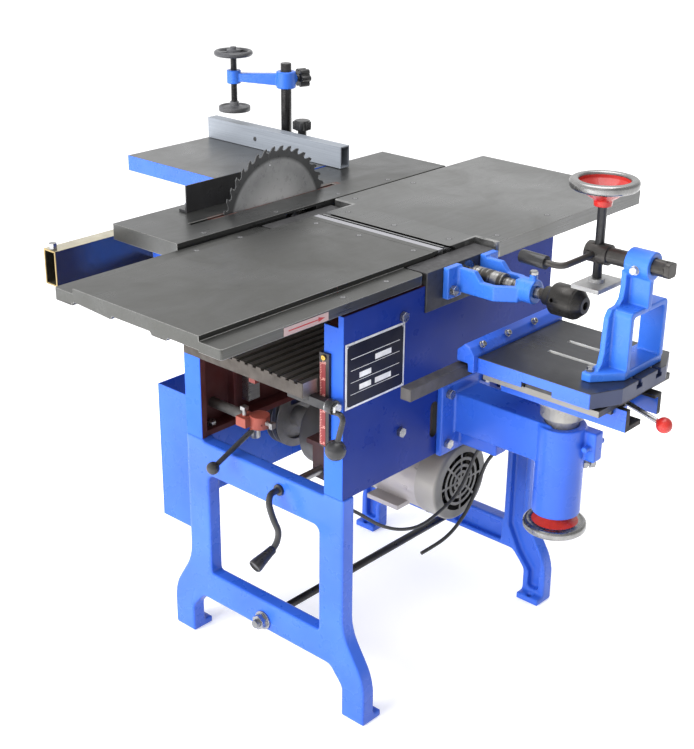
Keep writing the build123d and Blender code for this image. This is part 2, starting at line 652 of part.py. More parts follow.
gear_r = 26.0
with BuildPart() as lift_screw:
    round_z(432, 640, screw_x, crank_y, 20)
    round_z(443, 461.5, screw_x, crank_y, 32)
    round_z(472.5, 479, screw_x, crank_y, 34)
    with Locations((screw_x, crank_y, 437)):
        Cone(11.4, 25.4, 14)
    for k in range(14):
        with Locations(Location((screw_x, crank_y, 437), (0, 0, 360 / 14 * k))):
            with Locations((25.5, 0, 0)):
                Box(5, 3.2, 16, mode=Mode.SUBTRACT)
lift_screw.part.label = "lift_screw"
export_step(lift_screw.part, "parts/lift_screw.step")

crank_route = [(-300, crank_y, crank_z), (-326, crank_y, crank_z), (-336, -54, 404), (-337, -66, 378), (-333, -77, 354),
               (-340, -78, 334), (-354, -77, 322)]
grip_a, grip_b = (-350, -77.3, 325.4), (-393, -76, 308)
with BuildPart() as crank:
    round_x(-305, -163, crank_y, crank_z, 16)
    with Locations(Location((-169.2, crank_y, crank_z), (0, 90, 0))):
        Cone(25.4, 11.4, 14)
    for k in range(14):
        with Locations(Location((-169.2, crank_y, crank_z), (360 / 14 * (k + 0.5), 0, 0))):
            with Locations((0, 0, 25.5)):
                Box(16, 3.2, 5, mode=Mode.SUBTRACT)
    round_x(-178, -175.5, crank_y, crank_z, 26)
    round_x(-307, -303, crank_y, crank_z, 22)
    with BuildLine() as crank_line:
        FilletPolyline(*crank_route, radius=bend_radii(crank_route))
    with BuildSketch(Plane(origin=crank_route[0], z_dir=(-1, 0, 0))):
        Circle(6)
    sweep(path=crank_line.line)
    with Locations(Plane(origin=grip_a, z_dir=tuple(q - p for p, q in zip(grip_a, grip_b))).location):
        Cone(7.5, 12.5, 46, align=(Align.CENTER, Align.CENTER, Align.MIN))
crank.part.label = "crank"
export_step(crank.part, "parts/crank.step")

lever_a, lever_b = (lever_x + 1, 60, lever_z - 3), (-347, 80, 433)
lever_run = sqrt(sum((q - p) ** 2 for p, q in zip(lever_a, lever_b)))
with BuildPart() as feed_lever:
    round_z(lever_z - 11, lever_z + 14, lever_x + 1, 60, 38)
    block(lever_x - 31, lever_x + 1, 66, 92, lever_z - 7, lever_z + 12)
    round_y(44, 202, lever_x, lever_z, 20)
    round_z(lever_z + 10, lever_z + 26, lever_x - 19, 80, 9)
    block(lever_x - 25, lever_x - 13, 74, 86, lever_z + 24, lever_z + 32)
    round_y(28, 46, lever_x, lever_z + 2, 9)
    block(lever_x - 6, lever_x + 6, 22, 30, lever_z - 4, lever_z + 8)
    round_z(lever_z - 30, lever_z - 10, lever_x - 8, 64, 20)
    with BuildSketch(Plane(origin=lever_a, z_dir=tuple(q - p for p, q in zip(lever_a, lever_b)))):
        Circle(5)
    extrude(amount=lever_run - 7)
    ball(*lever_b, 25)
feed_lever.part.label = "feed_lever"
export_step(feed_lever.part, "parts/feed_lever.step")

with BuildPart() as feed_roller_in:
    round_y(-149, 149, -35, 766, 36)
    round_y(-200, 200, -35, 766, 16)
    for k in range(18):
        with Locations(Location((-35, 0, 766), (0, 20 * k, 0))):
            with Locations((0, 0, 18)):
                Box(2.4, 300, 2.4, mode=Mode.SUBTRACT)
feed_roller_in.part.label = "feed_roller_in"
export_step(feed_roller_in.part, "parts/feed_roller_in.step")

with BuildPart() as feed_roller_out:
    round_y(-149, 149, 89, 766, 36)
    round_y(-200, 200, 89, 766, 16)
feed_roller_out.part.label = "feed_roller_out"
export_step(feed_roller_out.part, "parts/feed_roller_out.step")

# ================= drive =================
with BuildPart() as motor_housing:
    round_y(-160, 150, motor_x, motor_z, 154)
    fillet([e for e in motor_housing.edges() if abs(e.center().Y - 150) < 0.5], 6)
    round_y(149, 166, motor_x, motor_z, 112)
    round_y(165, 176, motor_x, motor_z, 52)
    for y0 in (-95, 45):
        block(motor_x - 62, motor_x + 62, y0, y0 + 40, motor_z + 42, 462)
    block(-62, -20, -128, -50, 308, 318)
    block(92, 150, -140, -30, 394, 452)
    block(80, 110, -110, -60, 380, 440)
    round_y(-152, -139, 106, 432, 20)
    round_y(-152, -139, 134, 432, 20)
    round_y(-170, 190, motor_x, motor_z, 24 + 2 * run_gap, Mode.SUBTRACT)
motor_housing.part.label = "motor_housing"
export_step(motor_housing.part, "parts/motor_housing.step")

with BuildPart() as motor_fan_cover:
    round_y(-211, -160, motor_x, motor_z, 158)
    fillet([e for e in motor_fan_cover.edges() if abs(e.center().Y + 211) < 0.5], 8)
    round_y(-197, -159, motor_x, motor_z, 153, Mode.SUBTRACT)
    round_y(-208.5, -196, motor_x, motor_z, 136, Mode.SUBTRACT)
    for k in range(8):
        for r0, r1 in ((10, 16), (22, 29), (35, 43), (49, 59)):
            with BuildSketch(Plane.XZ.offset(205)):
                with Locations((motor_x, motor_z)):
                    with BuildLine():
                        web = 2.2 / ((r0 + r1) / 2)
                        a0, a1 = radians(45 * k) + web, radians(45 * k + 45) - web
                        am = (a0 + a1) / 2
                        p = [(motor_x + r * cos(a), motor_z + r * sin(a)) for r, a in
                             ((r0, a0), (r0, am), (r0, a1), (r1, a1), (r1, am), (r1, a0))]
                        ThreePointArc(p[0], p[1], p[2])
                        Line(p[2], p[3])
                        ThreePointArc(p[3], p[4], p[5])
                        Line(p[5], p[0])
                    make_face()
            extrude(amount=10, mode=Mode.SUBTRACT)
motor_fan_cover.part.label = "motor_fan_cover"
export_step(motor_fan_cover.part, "parts/motor_fan_cover.step")

with BuildPart() as motor_rotor:
    round_y(-200, 262, motor_x, motor_z, 24)
    round_y(-200, -166, motor_x, motor_z, 44)
    round_y(-176, -172, motor_x, motor_z, 120)
    for k in range(8):
        with Locations(Location((motor_x, -184, motor_z), (0, 45 * k, 0))):
            with Locations((0, 0, 40)):
                Box(3, 18, 40)
    round_y(pulley_y0, pulley_y1, motor_x, motor_z, 2 * motor_pulley_r)
    round_y(220, 228, motor_x, motor_z, 100, Mode.SUBTRACT)
    round_y(248, 256, motor_x, motor_z, 100, Mode.SUBTRACT)
    round_y(178, 262, motor_x, motor_z, 44)
    for k in range(5):
        with Locations(Location((motor_x, 238, motor_z), (90, 72 * k, 0))):
            with Locations((0, 36, 0)):
                Cylinder(9, 40, mode=Mode.SUBTRACT)
    for y in belt_y:
        with BuildSketch(Plane(origin=(motor_x, y, motor_z), x_dir=(1, 0, 0), z_dir=(0, 0, 1))):
            with BuildLine():
                Polyline((motor_pulley_r + 0.5, -groove_outer / 2 - 0.12), (motor_pulley_r + 0.5, groove_outer / 2 + 0.12),
                         (motor_pulley_r - groove_depth, groove_inner / 2), (motor_pulley_r - groove_depth, -groove_inner / 2), close=True)
            make_face()
        revolve(axis=Axis((motor_x, 0, motor_z), (0, 1, 0)), revolution_arc=360, mode=Mode.SUBTRACT)
motor_rotor.part.label = "motor_rotor"
export_step(motor_rotor.part, "parts/motor_rotor.step")


def belt_loop(r_top, r_low):
    lean = asin((r_low - r_top) / (sp_z - motor_z))
    tx, tz = r_top * cos(lean), sp_z + r_top * sin(lean)
    bx, bz = r_low * cos(lean), motor_z + r_low * sin(lean)
    ThreePointArc((sp_x + tx, tz), (sp_x, sp_z + r_top), (sp_x - tx, tz))
    Line((sp_x - tx, tz), (motor_x - bx, bz))
    ThreePointArc((motor_x - bx, bz), (motor_x, motor_z - r_low), (motor_x + bx, bz))
    Line((motor_x + bx, bz), (sp_x + tx, tz))


with BuildPart() as v_belts:
    for y in belt_y:
        with BuildSketch(Plane.XZ.offset(-y - 4.7)):
            with BuildLine():
                belt_loop(spindle_r + 0.3, motor_pulley_r + 0.3)
            make_face()
            with BuildLine():
                belt_loop(spindle_r - 7.7, motor_pulley_r - 7.7)
            make_face(mode=Mode.SUBTRACT)
        extrude(amount=9.4)
v_belts.part.label = "v_belts"
export_step(v_belts.part, "parts/v_belts.step")

# ================= mortiser =================
col_x = sp_x
with BuildPart() as mortise_arm:
    block(-46, 100, -215, -202, 448, 588)
    block(-8, 62, drill_y, -214, 488, 566)
    block(10, 44, -300, -214, 456, 489)
    round_z(388, 562, col_x, drill_y, 88)
    block(col_x + 8, col_x + 34, drill_y - 66, drill_y - 30, 500, 556)
    with Locations(Location((col_x + 21, drill_y - 54, 528), (0, 90, 0))):
        Cylinder(6, 60)
    round_z(398, 600, col_x, drill_y, 60 + 2 * run_gap, Mode.SUBTRACT)
    round_z(380, 400, col_x, drill_y, 20 + 2 * run_gap, Mode.SUBTRACT)
mortise_arm.part.label = "mortise_arm"
export_step(mortise_arm.part, "parts/mortise_arm.step")

with BuildPart() as mortise_column:
    round_z(412, 612, col_x, drill_y, 60)
    round_z(578, 612, col_x, drill_y, 80)
    round_z(604, 612, col_x, drill_y, 96)
    round_z(400, 600, col_x, drill_y, 20 + 2 * run_gap, Mode.SUBTRACT)
mortise_column.part.label = "mortise_column"
export_step(mortise_column.part, "parts/mortise_column.step")


def wheel_section(z, side, hub):
    """Half section of a dished handwheel: rim at height z, hub reaching hub mm towards side."""
    points = [(0, hub), (15, hub), (16, hub - 10), (45, 8), (58, 10), (58, -8), (43, -8), (42, 2), (16, hub - 16), (0, hub - 16)]
    return [(r, z + side * h) for r, h in points]


with BuildPart() as lift_handwheel:
    with BuildSketch(Plane(origin=(col_x, drill_y, 0), x_dir=(1, 0, 0), z_dir=(0, -1, 0))) as low_wheel:
        with BuildLine():
            Polyline(*wheel_section(360, 1, 27.3), close=True)
        make_face()
        fillet([v for v in low_wheel.vertices() if v.X > 42.5 + 14], 6.5)
        fillet([v for v in low_wheel.vertices() if abs(v.X - 43) < 0.2], 4)
    revolve(axis=Axis((col_x, drill_y, 0), (0, 0, 1)), revolution_arc=360)
    round_z(376, 560, col_x, drill_y, 20)
lift_handwheel.part.label = "lift_handwheel"
export_step(lift_handwheel.part, "parts/lift_handwheel.step")

with BuildPart() as mortise_base:
    block(-29, 83, -585, -330, 612, 652)
    block(-17, 71, -600, -345, 622, 660, Mode.SUBTRACT)
    block(20, 90, -600, -535, 605, 640, Mode.SUBTRACT)
    block(60, 83, -585, -535, 612, 652)
    block(60, 72, -590, -530, 600, 645, Mode.SUBTRACT)
    round_x(-29, 83, -505, 640, 10)
mortise_base.part.label = "mortise_base"
export_step(mortise_base.part, "parts/mortise_base.step")

with BuildPart() as mortise_saddle:
    block(-86, 140, -566, -332, 652.6, 664)
    block(-86, 140, -480, -420, 663, 676)
    for x0 in (-36.6, 83.6):
        block(x0, x0 + 7, -560, -340, 640, 653)
mortise_saddle.part.label = "mortise_saddle"
export_step(mortise_saddle.part, "parts/mortise_saddle.step")

with BuildPart() as mortise_table:
    with BuildSketch(Plane.XY.offset(667)):
        with BuildLine():
            Polyline((-97, -327), (155, -327), (155, -553), (98, -580), (-40, -580), (-97, -553), close=True)
        make_face()
    extrude(amount=28)
    block(-100, 160, -480.6, -419.4, 660, 676.6, Mode.SUBTRACT)
    for tx in (13, 75):
        block(tx - 5, tx + 5, -590, -397, 684, 700, Mode.SUBTRACT)
        block(tx - 9, tx + 9, -590, -397, 680, 687, Mode.SUBTRACT)
mortise_table.part.label = "mortise_table"
export_step(mortise_table.part, "parts/mortise_table.step")

fence_points = [(-327, 668), (-327, 700), (-318, 712), (-306, 717), (-291, 704), (-291, 683), (-314, 683), (-314, 668)]
with BuildPart() as mortise_fence:
    with BuildSketch(Plane.YZ.offset(-108)):
        with BuildLine():
            Polyline(*fence_points, close=True)
        make_face()
    extrude(amount=268)
    for x0 in (-70, 90):
        block(x0, x0 + 26, -326, -283, 652, 690)
    block(-300, 300, -310.4, -287.6, 656.6, 679.4, Mode.SUBTRACT)
mortise_fence.part.label = "mortise_fence"
export_step(mortise_fence.part, "parts/mortise_fence.step")

with BuildPart() as stop_bar:
    block(-255, 140, -310, -288, 657, 679)
stop_bar.part.label = "stop_bar"
export_step(stop_bar.part, "parts/stop_bar.step")

bracket_rib = [(-54, 709), (-42, 711), (-31, 720), (-26, 738), (-24, 770), (-22, 798), (-13, 811), (8, 813), (18, 822), (22, 842),
               (22, 870), (60, 870), (60, 842), (66, 822), (78, 814), (108, 811), (120, 798), (122, 760), (124, 730), (132, 709)]
bracket_foot = [(-58, -510), (-58, -527), (-10, -565), (104, -565), (134, -546), (134, -510)]
with BuildPart() as clamp_bracket:
    with BuildSketch(Plane.XY.offset(695)):
        with BuildLine():
            Polyline(*bracket_foot, close=True)
        make_face()
    extrude(amount=15)
    # hoop: two thin posts and a top, with a rib behind them that runs up to the boss
    block(-8, 3, -565, -521, 708, 811)
    block(97, 108, -565, -521, 708, 811)
    block(-8, 108, -565, -521, 801, 811)
    fillet([e for e in clamp_bracket.edges().filter_by(Axis.Y) if abs(e.center().Z - 811) < 0.5], 9)
    fillet([e for e in clamp_bracket.edges().filter_by(Axis.Y) if abs(e.center().Z - 801) < 0.5 and 0 < e.center().X < 100], 6)
    with BuildSketch(Plane.XZ.offset(521)):
        with BuildLine():
            Polyline(*bracket_rib, close=True)
        make_face()
        with BuildLine():
            Polyline((3, 700), (97, 700), (97, 795), (91, 801), (9, 801), (3, 795), close=True)
        make_face(mode=Mode.SUBTRACT)
    extrude(amount=10)
    block(35, 47, -569, -524, 809, 870)
    round_y(-571, -526, clamp_x, bar_z, 48)
    round_y(-580, -500, clamp_x, bar_z, 28 + 2 * run_gap, Mode.SUBTRACT)
clamp_bracket.part.label = "clamp_bracket"
export_step(clamp_bracket.part, "parts/clamp_bracket.step")

handle_route = [(clamp_x, -462, bar_z), (-66, -462, bar_z), (-64, -420, bar_z)]
with BuildPart() as clamp_bar:
    with BuildLine() as handle_line:
        FilletPolyline(*handle_route, radius=16)
    with BuildSketch(Plane(origin=handle_route[0], z_dir=(-1, 0, 0))):
        Circle(5.5)
    sweep(path=handle_line.line)
    with Locations(Plane(origin=(-64.6, -432, bar_z), z_dir=(2, 50, 0)).location):
        Cylinder(11.5, 51, align=(Align.CENTER, Align.CENTER, Align.MIN))
    round_y(-593, -444, clamp_x, bar_z, 28)
    round_y(-486, -444, clamp_x, bar_z, 36)
    with BuildSketch(Plane.XZ.offset(592)):
        with Locations((clamp_x, bar_z)):
            RectangleRounded(25, 25, 6)
    extrude(amount=11)
    round_z(850, 910, clamp_x, clamp_y, 16 + 2 * run_gap, Mode.SUBTRACT)
clamp_bar.part.label = "clamp_bar"
export_step(clamp_bar.part, "parts/clamp_bar.step")

with BuildPart() as clamp_screw:
    with BuildSketch(Plane(origin=(clamp_x, clamp_y, 0), x_dir=(1, 0, 0), z_dir=(0, -1, 0))) as top_wheel:
        with BuildLine():
            Polyline(*wheel_section(1001, -1, 38), close=True)
        make_face()
        fillet([v for v in top_wheel.vertices() if v.X > 42.5 + 14], 6.5)
        fillet([v for v in top_wheel.vertices() if abs(v.X - 43) < 0.2], 4)
    revolve(axis=Axis((clamp_x, clamp_y, 0), (0, 0, 1)), revolution_arc=360)
    round_z(838.3, 970, clamp_x, clamp_y, 16)
clamp_screw.part.label = "clamp_screw"
export_step(clamp_screw.part, "parts/clamp_screw.step")

with BuildPart() as clamp_foot:
    block(0, 82, -494, -440, 824, 832)
    round_z(831, 838, clamp_x, clamp_y, 28)
clamp_foot.part.label = "clamp_foot"
export_step(clamp_foot.part, "parts/clamp_foot.step")

lever_pivot = (44.0, -505.0, 640.0)
lever_ball = (44.0, -616.0, 612.0)
with BuildPart() as plunge_lever:
    round_x(36, 52, -505, 640, 22)
    run = sqrt(sum((q - p) ** 2 for p, q in zip(lever_pivot, lever_ball)))
    with BuildSketch(Plane(origin=lever_pivot, z_dir=tuple(q - p for p, q in zip(lever_pivot, lever_ball)))):
        Circle(4.5)
    extrude(amount=run)
    ball(*lever_ball, 28)
    round_x(20, 70, -505, 640, 10 + 2 * run_gap, Mode.SUBTRACT)
plunge_lever.part.label = "plunge_lever"
export_step(plunge_lever.part, "parts/plunge_lever.step")

# ================= cables =================
supply_route = [(118, -202, 474), (118, -237, 474), (92, -261, 472), (61, -258, 465), (47, -245, 452), (41.5, -235.5, 435),
                (39, -229, 418), (36, -225, 400), (28, -222.5, 383), (15, -222, 366), (-2, -222, 352.5), (-22, -222, 344),
                (-49, -222, 337), (-80, -220, 328.5), (-106, -216, 325), (-130, -212, 328), (-157, -207, 336.5),
                (-180, -202, 348), (-202, -197, 362.5), (-220, -192, 378), (-238, -186.5, 394), (-256, -181, 408),
                (-272, -177, 416), (-288, -176, 420)]
lead_route = [(138, -202, 462), (138, -241, 462), (110, -268, 458), (80, -263, 444), (72, -249, 421), (73, -236, 401),
              (71, -229, 379), (64, -225, 356), (53, -224, 332), (40, -223, 311), (23, -221, 293),
              (4, -219, 277.5), (-19, -216, 265.5), (-46, -211, 257.5), (-80, -205, 252)]
with BuildPart() as supply_cable:
    with BuildLine() as supply_line:
        FilletPolyline(*supply_route, radius=bend_radii(supply_route))
    with BuildSketch(Plane(origin=supply_route[0], z_dir=tuple(q - p for p, q in zip(supply_route[0], supply_route[1])))):
        Circle(3.2)
    sweep(path=supply_line.line)
supply_cable.part.label = "supply_cable"
export_step(supply_cable.part, "parts/supply_cable.step")

with BuildPart() as motor_lead:
    with BuildLine() as lead_line:
        FilletPolyline(*lead_route, radius=bend_radii(lead_route))
    with BuildSketch(Plane(origin=lead_route[0], z_dir=tuple(q - p for p, q in zip(lead_route[0], lead_route[1])))):
        Circle(3.6)
    sweep(path=lead_line.line)
motor_lead.part.label = "motor_lead"
export_step(motor_lead.part, "parts/motor_lead.step")

print("supply bends", [round(r) for r in bend_radii(supply_route)])
print("lead bends", [round(r) for r in bend_radii(lead_route)])
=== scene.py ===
from math import cos, pi, radians, sin

import bmesh
import bpy
from mathutils import Matrix, Vector


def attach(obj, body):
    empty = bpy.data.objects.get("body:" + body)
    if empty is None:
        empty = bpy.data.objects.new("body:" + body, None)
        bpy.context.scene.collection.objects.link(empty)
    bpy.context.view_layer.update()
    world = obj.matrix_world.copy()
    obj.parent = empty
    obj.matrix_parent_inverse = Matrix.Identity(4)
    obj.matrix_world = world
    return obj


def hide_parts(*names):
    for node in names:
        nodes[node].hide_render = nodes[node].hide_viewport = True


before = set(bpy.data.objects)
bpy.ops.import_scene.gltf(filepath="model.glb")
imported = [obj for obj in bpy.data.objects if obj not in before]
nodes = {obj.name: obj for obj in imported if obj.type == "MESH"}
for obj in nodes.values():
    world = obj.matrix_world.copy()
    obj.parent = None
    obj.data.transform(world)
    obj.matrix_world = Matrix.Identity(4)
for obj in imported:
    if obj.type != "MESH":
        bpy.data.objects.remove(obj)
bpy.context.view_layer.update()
scene = bpy.context.scene
MM = 0.001

# ------------------------------------------------------------------ camera
cam_data = bpy.data.cameras.new("camera")
cam_data.sensor_fit = "AUTO"
cam_data.sensor_width = 36.0
cam_data.lens = 65.934
cam_data.clip_start, cam_data.clip_end = 0.05, 50.0
cam = bpy.data.objects.new("camera", cam_data)
scene.collection.objects.link(cam)
right = Vector((0.673033536, -0.739562152, 0.008583916))
up = Vector((0.285758106, 0.270721939, 0.919267065))
back = Vector((-0.682178983, -0.616244639, 0.393540824))
cam.matrix_world = Matrix((
    (right.x, up.x, back.x, -1.85895),
    (right.y, up.y, back.y, -1.61721),
    (right.z, up.z, back.z, 1.59100),
    (0, 0, 0, 1),
))
scene.camera = cam


# ------------------------------------------------------------------ node helpers
def lin(r, g, b):
    out = []
    for c in (r, g, b):
        c /= 255
        out.append(c / 12.92 if c <= 0.04045 else ((c + 0.055) / 1.055) ** 2.4)
    return (*out, 1.0)


class Mat:
    """One procedural material, with its sockets at hand."""

    def __init__(self, name):
        self.m = bpy.data.materials.new(name)
        self.m.use_nodes = True
        self.t = self.m.node_tree
        self.t.nodes.clear()
        out = self.t.nodes.new("ShaderNodeOutputMaterial")
        self.b = self.t.nodes.new("ShaderNodeBsdfPrincipled")
        self.t.links.new(self.b.outputs[0], out.inputs[0])
        self.co = self.n("ShaderNodeTexCoord").outputs["Object"]
        self.xyz = None

    def n(self, kind, **props):
        node = self.t.nodes.new(kind)
        for k, v in props.items():
            setattr(node, k, v)
        return node

    def put(self, socket, value):
        if isinstance(value, bpy.types.NodeSocket):
            self.t.links.new(value, socket)
        else:
            socket.default_value = value

    def math(self, op, a, b=0.0, clamp=False):
        node = self.n("ShaderNodeMath", operation=op, use_clamp=clamp)
        self.put(node.inputs[0], a)
        self.put(node.inputs[1], b)
        return node.outputs[0]

    def axis(self, k):
        if self.xyz is None:
            node = self.n("ShaderNodeSeparateXYZ")
            self.put(node.inputs[0], self.co)
            self.xyz = node.outputs
        return self.xyz["XYZ".index(k)]

    def scaled(self, sx, sy, sz):
        node = self.n("ShaderNodeMapping")
        self.put(node.inputs[0], self.co)
        node.inputs["Scale"].default_value = (sx, sy, sz)
        return node.outputs[0]

    def noise(self, scale, detail=3.0, rough=0.55, vector=None, distort=0.0):
        node = self.n("ShaderNodeTexNoise")
        self.put(node.inputs["Vector"], vector or self.co)
        node.inputs["Scale"].default_value = scale
        node.inputs["Detail"].default_value = detail
        node.inputs["Roughness"].default_value = rough
        node.inputs["Distortion"].default_value = distort
        return node.outputs[0]

    def span(self, value, lo, hi, a=0.0, b=1.0, smooth=False):
        node = self.n("ShaderNodeMapRange", interpolation_type="SMOOTHSTEP" if smooth else "LINEAR")
        self.put(node.inputs["Value"], value)
        node.inputs["From Min"].default_value = lo
        node.inputs["From Max"].default_value = hi
        node.inputs["To Min"].default_value = a
        node.inputs["To Max"].default_value = b
        return node.outputs[0]

    def mix(self, fac, a, b):
        node = self.n("ShaderNodeMix", data_type="RGBA")
        self.put(node.inputs[0], fac)
        self.put(node.inputs[6], a)
        self.put(node.inputs[7], b)
        return node.outputs[2]

    def blend(self, fac, a, b):
        node = self.n("ShaderNodeMix", data_type="FLOAT")
        self.put(node.inputs[0], fac)
        self.put(node.inputs[2], a)
        self.put(node.inputs[3], b)
        return node.outputs[0]

    def over(self, k, value):
        """1 where coordinate k (mm) is above value."""
        return self.math("GREATER_THAN", self.axis(k), value * MM)

    def under(self, k, value):
        return self.math("LESS_THAN", self.axis(k), value * MM)

    def both(self, *masks):
        out = masks[0]
        for m in masks[1:]:
            out = self.math("MULTIPLY", out, m)
        return out

    def either(self, *masks):
        out = masks[0]
        for m in masks[1:]:
            out = self.math("MAXIMUM", out, m)
        return out

    def inside(self, x=None, y=None, z=None):
        parts = []
        for k, r in (("X", x), ("Y", y), ("Z", z)):
            if r is not None:
                if r[0] is not None:
                    parts.append(self.over(k, r[0]))
                if r[1] is not None:
                    parts.append(self.under(k, r[1]))
        return self.both(*parts)

    def facing(self, direction, limit=0.7):
        """1 where the surface at rest faces that way, read from the piece's own normal."""
        tc = self.n("ShaderNodeTexCoord")
        node = self.n("ShaderNodeVectorMath", operation="DOT_PRODUCT")
        self.put(node.inputs[0], tc.outputs["Normal"])
        node.inputs[1].default_value = direction
        return self.math("GREATER_THAN", node.outputs["Value"], limit)

    def radial(self, kx, ky, cx, cy):
        """Distance in metres from an axis through (cx, cy) mm in the plane of kx, ky."""
        a = self.math("SUBTRACT", self.axis(kx), cx * MM)
        b = self.math("SUBTRACT", self.axis(ky), cy * MM)
        return self.math("SQRT", self.math("ADD", self.math("MULTIPLY", a, a), self.math("MULTIPLY", b, b)))

    def finish(self, layer, bump=1.0, coat=None, specular=None):
        self.put(self.b.inputs["Base Color"], layer["color"])
        self.put(self.b.inputs["Roughness"], layer["rough"])
        self.put(self.b.inputs["Metallic"], layer["metal"])
        if layer.get("height") is not None:
            node = self.n("ShaderNodeBump")
            node.inputs["Strength"].default_value = bump
            node.inputs["Distance"].default_value = 0.001
            self.put(node.inputs["Height"], layer["height"])
            self.put(self.b.inputs["Normal"], node.outputs[0])
        if coat:
            self.b.inputs["Coat Weight"].default_value = coat[0]
            self.b.inputs["Coat Roughness"].default_value = coat[1]
        if specular is not None:
            self.b.inputs["Specular IOR Level"].default_value = specular
        return self.m

    def mixed(self, mask, a, b):
        """Layer a where mask is 0 and layer b where it is 1."""
        return {
            "color": self.mix(mask, a["color"], b["color"]),
            "rough": self.blend(mask, a["rough"], b["rough"]),
            "metal": self.blend(mask, a["metal"], b["metal"]),
            "height": self.blend(mask, a["height"], b["height"]),
        }

    # ---- layers; heights are in millimetres
    def paint(self, color, cast=0.0, gloss=0.24, dust=0.014, metal=0.0):
        r, g, b, _ = color
        dark = (r * 0.80, g * 0.80, b * 0.85, 1)
        pale = (min(1, r * 1.10 + 0.003), min(1, g * 1.09 + 0.003), min(1, b * 1.05 + 0.002), 1)
        wide = self.noise(5.5, 3, 0.5)
        fine = self.noise(58, 3, 0.55)
        c = self.mix(self.span(wide, 0.32, 0.70), dark, pale)
        c = self.mix(self.span(fine, 0.50, 0.85, 0.0, 0.07), c, dark)
        # thin film of dust
        c = self.mix(self.span(self.noise(12, 3, 0.5), 0.40, 0.75, 0.0, dust), c, lin(150, 152, 158))
        rough = self.span(self.noise(26, 3, 0.5), 0.30, 0.72, gloss * 0.8, gloss * 1.4)
        peel = self.math("MULTIPLY", self.noise(180, 1, 0.4), 0.006)
        height = peel
        if cast:
            lumps = self.math("MULTIPLY", self.noise(70, 2, 0.45), cast * 0.45)
            waves = self.math("MULTIPLY", self.noise(16, 1, 0.4), cast * 2.2)
            height = self.math("ADD", peel, self.math("ADD", lumps, waves))
        return {"color": c, "rough": rough, "metal": metal, "height": height}

    def ground(self, base, along="X", rough=(0.26, 0.46), stain=0.35, lines=0.012, metal=0.88):
        """Machined metal with grinding lines along one axis and an uneven oil film."""
        r, g, b, _ = base
        s = {"X": (6, 900, 900), "Y": (900, 6, 900), "Z": (900, 900, 6)}[along]
        grain = self.noise(1.0, 2, 0.6, self.scaled(*s))
        s2 = {"X": (1.5, 160, 160), "Y": (160, 1.5, 160), "Z": (160, 160, 1.5)}[along]
        bands = self.noise(1.0, 2, 0.5, self.scaled(*s2))
        film = self.noise(7.5, 5, 0.62, distort=0.6)
        c = self.mix(self.span(grain, 0.3, 0.7), (r * 0.84, g * 0.84, b * 0.84, 1), (r * 1.14, g * 1.14, b * 1.14, 1))
        c = self.mix(self.span(bands, 0.35, 0.7, 0, 0.35), c, (r * 0.8, g * 0.8, b * 0.8, 1))
        c = self.mix(self.span(film, 0.42, 0.72, 0, stain), c, (r * 0.74, g * 0.72, b * 0.64, 1))
        spots = self.noise(160, 3, 0.6)
        c = self.mix(self.span(spots, 0.66, 0.78, 0, 0.45), c, (r * 0.42, g * 0.40, b * 0.38, 1))
        rr = self.blend(self.span(film, 0.35, 0.7), rough[0], rough[1])
        rr = self.math("ADD", rr, self.span(grain, 0.3, 0.7, -0.04, 0.05))
        return {"color": c, "rough": rr, "metal": metal, "height": self.math("MULTIPLY", grain, lines)}

    def bare(self, base, rough=0.3, cast=0.0, metal=0.95, spot=0.35):
        """Bare or plated metal with fine handling marks."""
        r, g, b, _ = base
        wide = self.noise(30, 4, 0.6)
        fine = self.noise(310, 3, 0.6)
        c = self.mix(self.span(wide, 0.35, 0.7), (r * 0.82, g * 0.82, b * 0.82, 1), (min(1, r * 1.12), min(1, g * 1.12), min(1, b * 1.12), 1))
        c = self.mix(self.span(fine, 0.58, 0.76, 0, spot), c, (r * 0.5, g * 0.48, b * 0.45, 1))
        rr = self.span(self.noise(75, 3, 0.6), 0.3, 0.7, rough * 0.72, rough * 1.35)
        h = self.math("MULTIPLY", fine, 0.012 + cast)
        return {"color": c, "rough": rr, "metal": metal, "height": h}

    def plastic(self, base, rough=0.34, grain=0.03):
        r, g, b, _ = base
        fine = self.noise(620, 2, 0.5)
        wide = self.noise(42, 4, 0.6)
        c = self.mix(self.span(wide, 0.35, 0.7), (r * 0.8, g * 0.8, b * 0.8, 1), (r * 1.25 + 0.003, g * 1.25 + 0.003, b * 1.25 + 0.003, 1))
        c = self.mix(self.span(self.noise(150, 4, 0.7), 0.62, 0.82, 0, 0.25), c, lin(112, 112, 112))
        rr = self.span(wide, 0.3, 0.72, rough * 0.8, rough * 1.3)
        return {"color": c, "rough": rr, "metal": 0.0, "height": self.math("MULTIPLY", fine, grain)}


BLUE = (0.024, 0.103, 0.55, 1)
# darker copy of BLUE for the body's side panels: painted shade
SHADED_BLUE = (0.0078, 0.0285, 0.225, 1)
PRIMER = lin(104, 44, 40)
IRON = (0.275, 0.275, 0.265, 1)
STEEL = (0.36, 0.362, 0.368, 1)
BLACK = (0.018, 0.018, 0.020, 1)
RED = lin(180, 40, 34)


def simple(name, kind, *args, finish=None, **kw):
    m = Mat(name)
    return m.finish(getattr(m, kind)(*args, **kw), **(finish or {}))


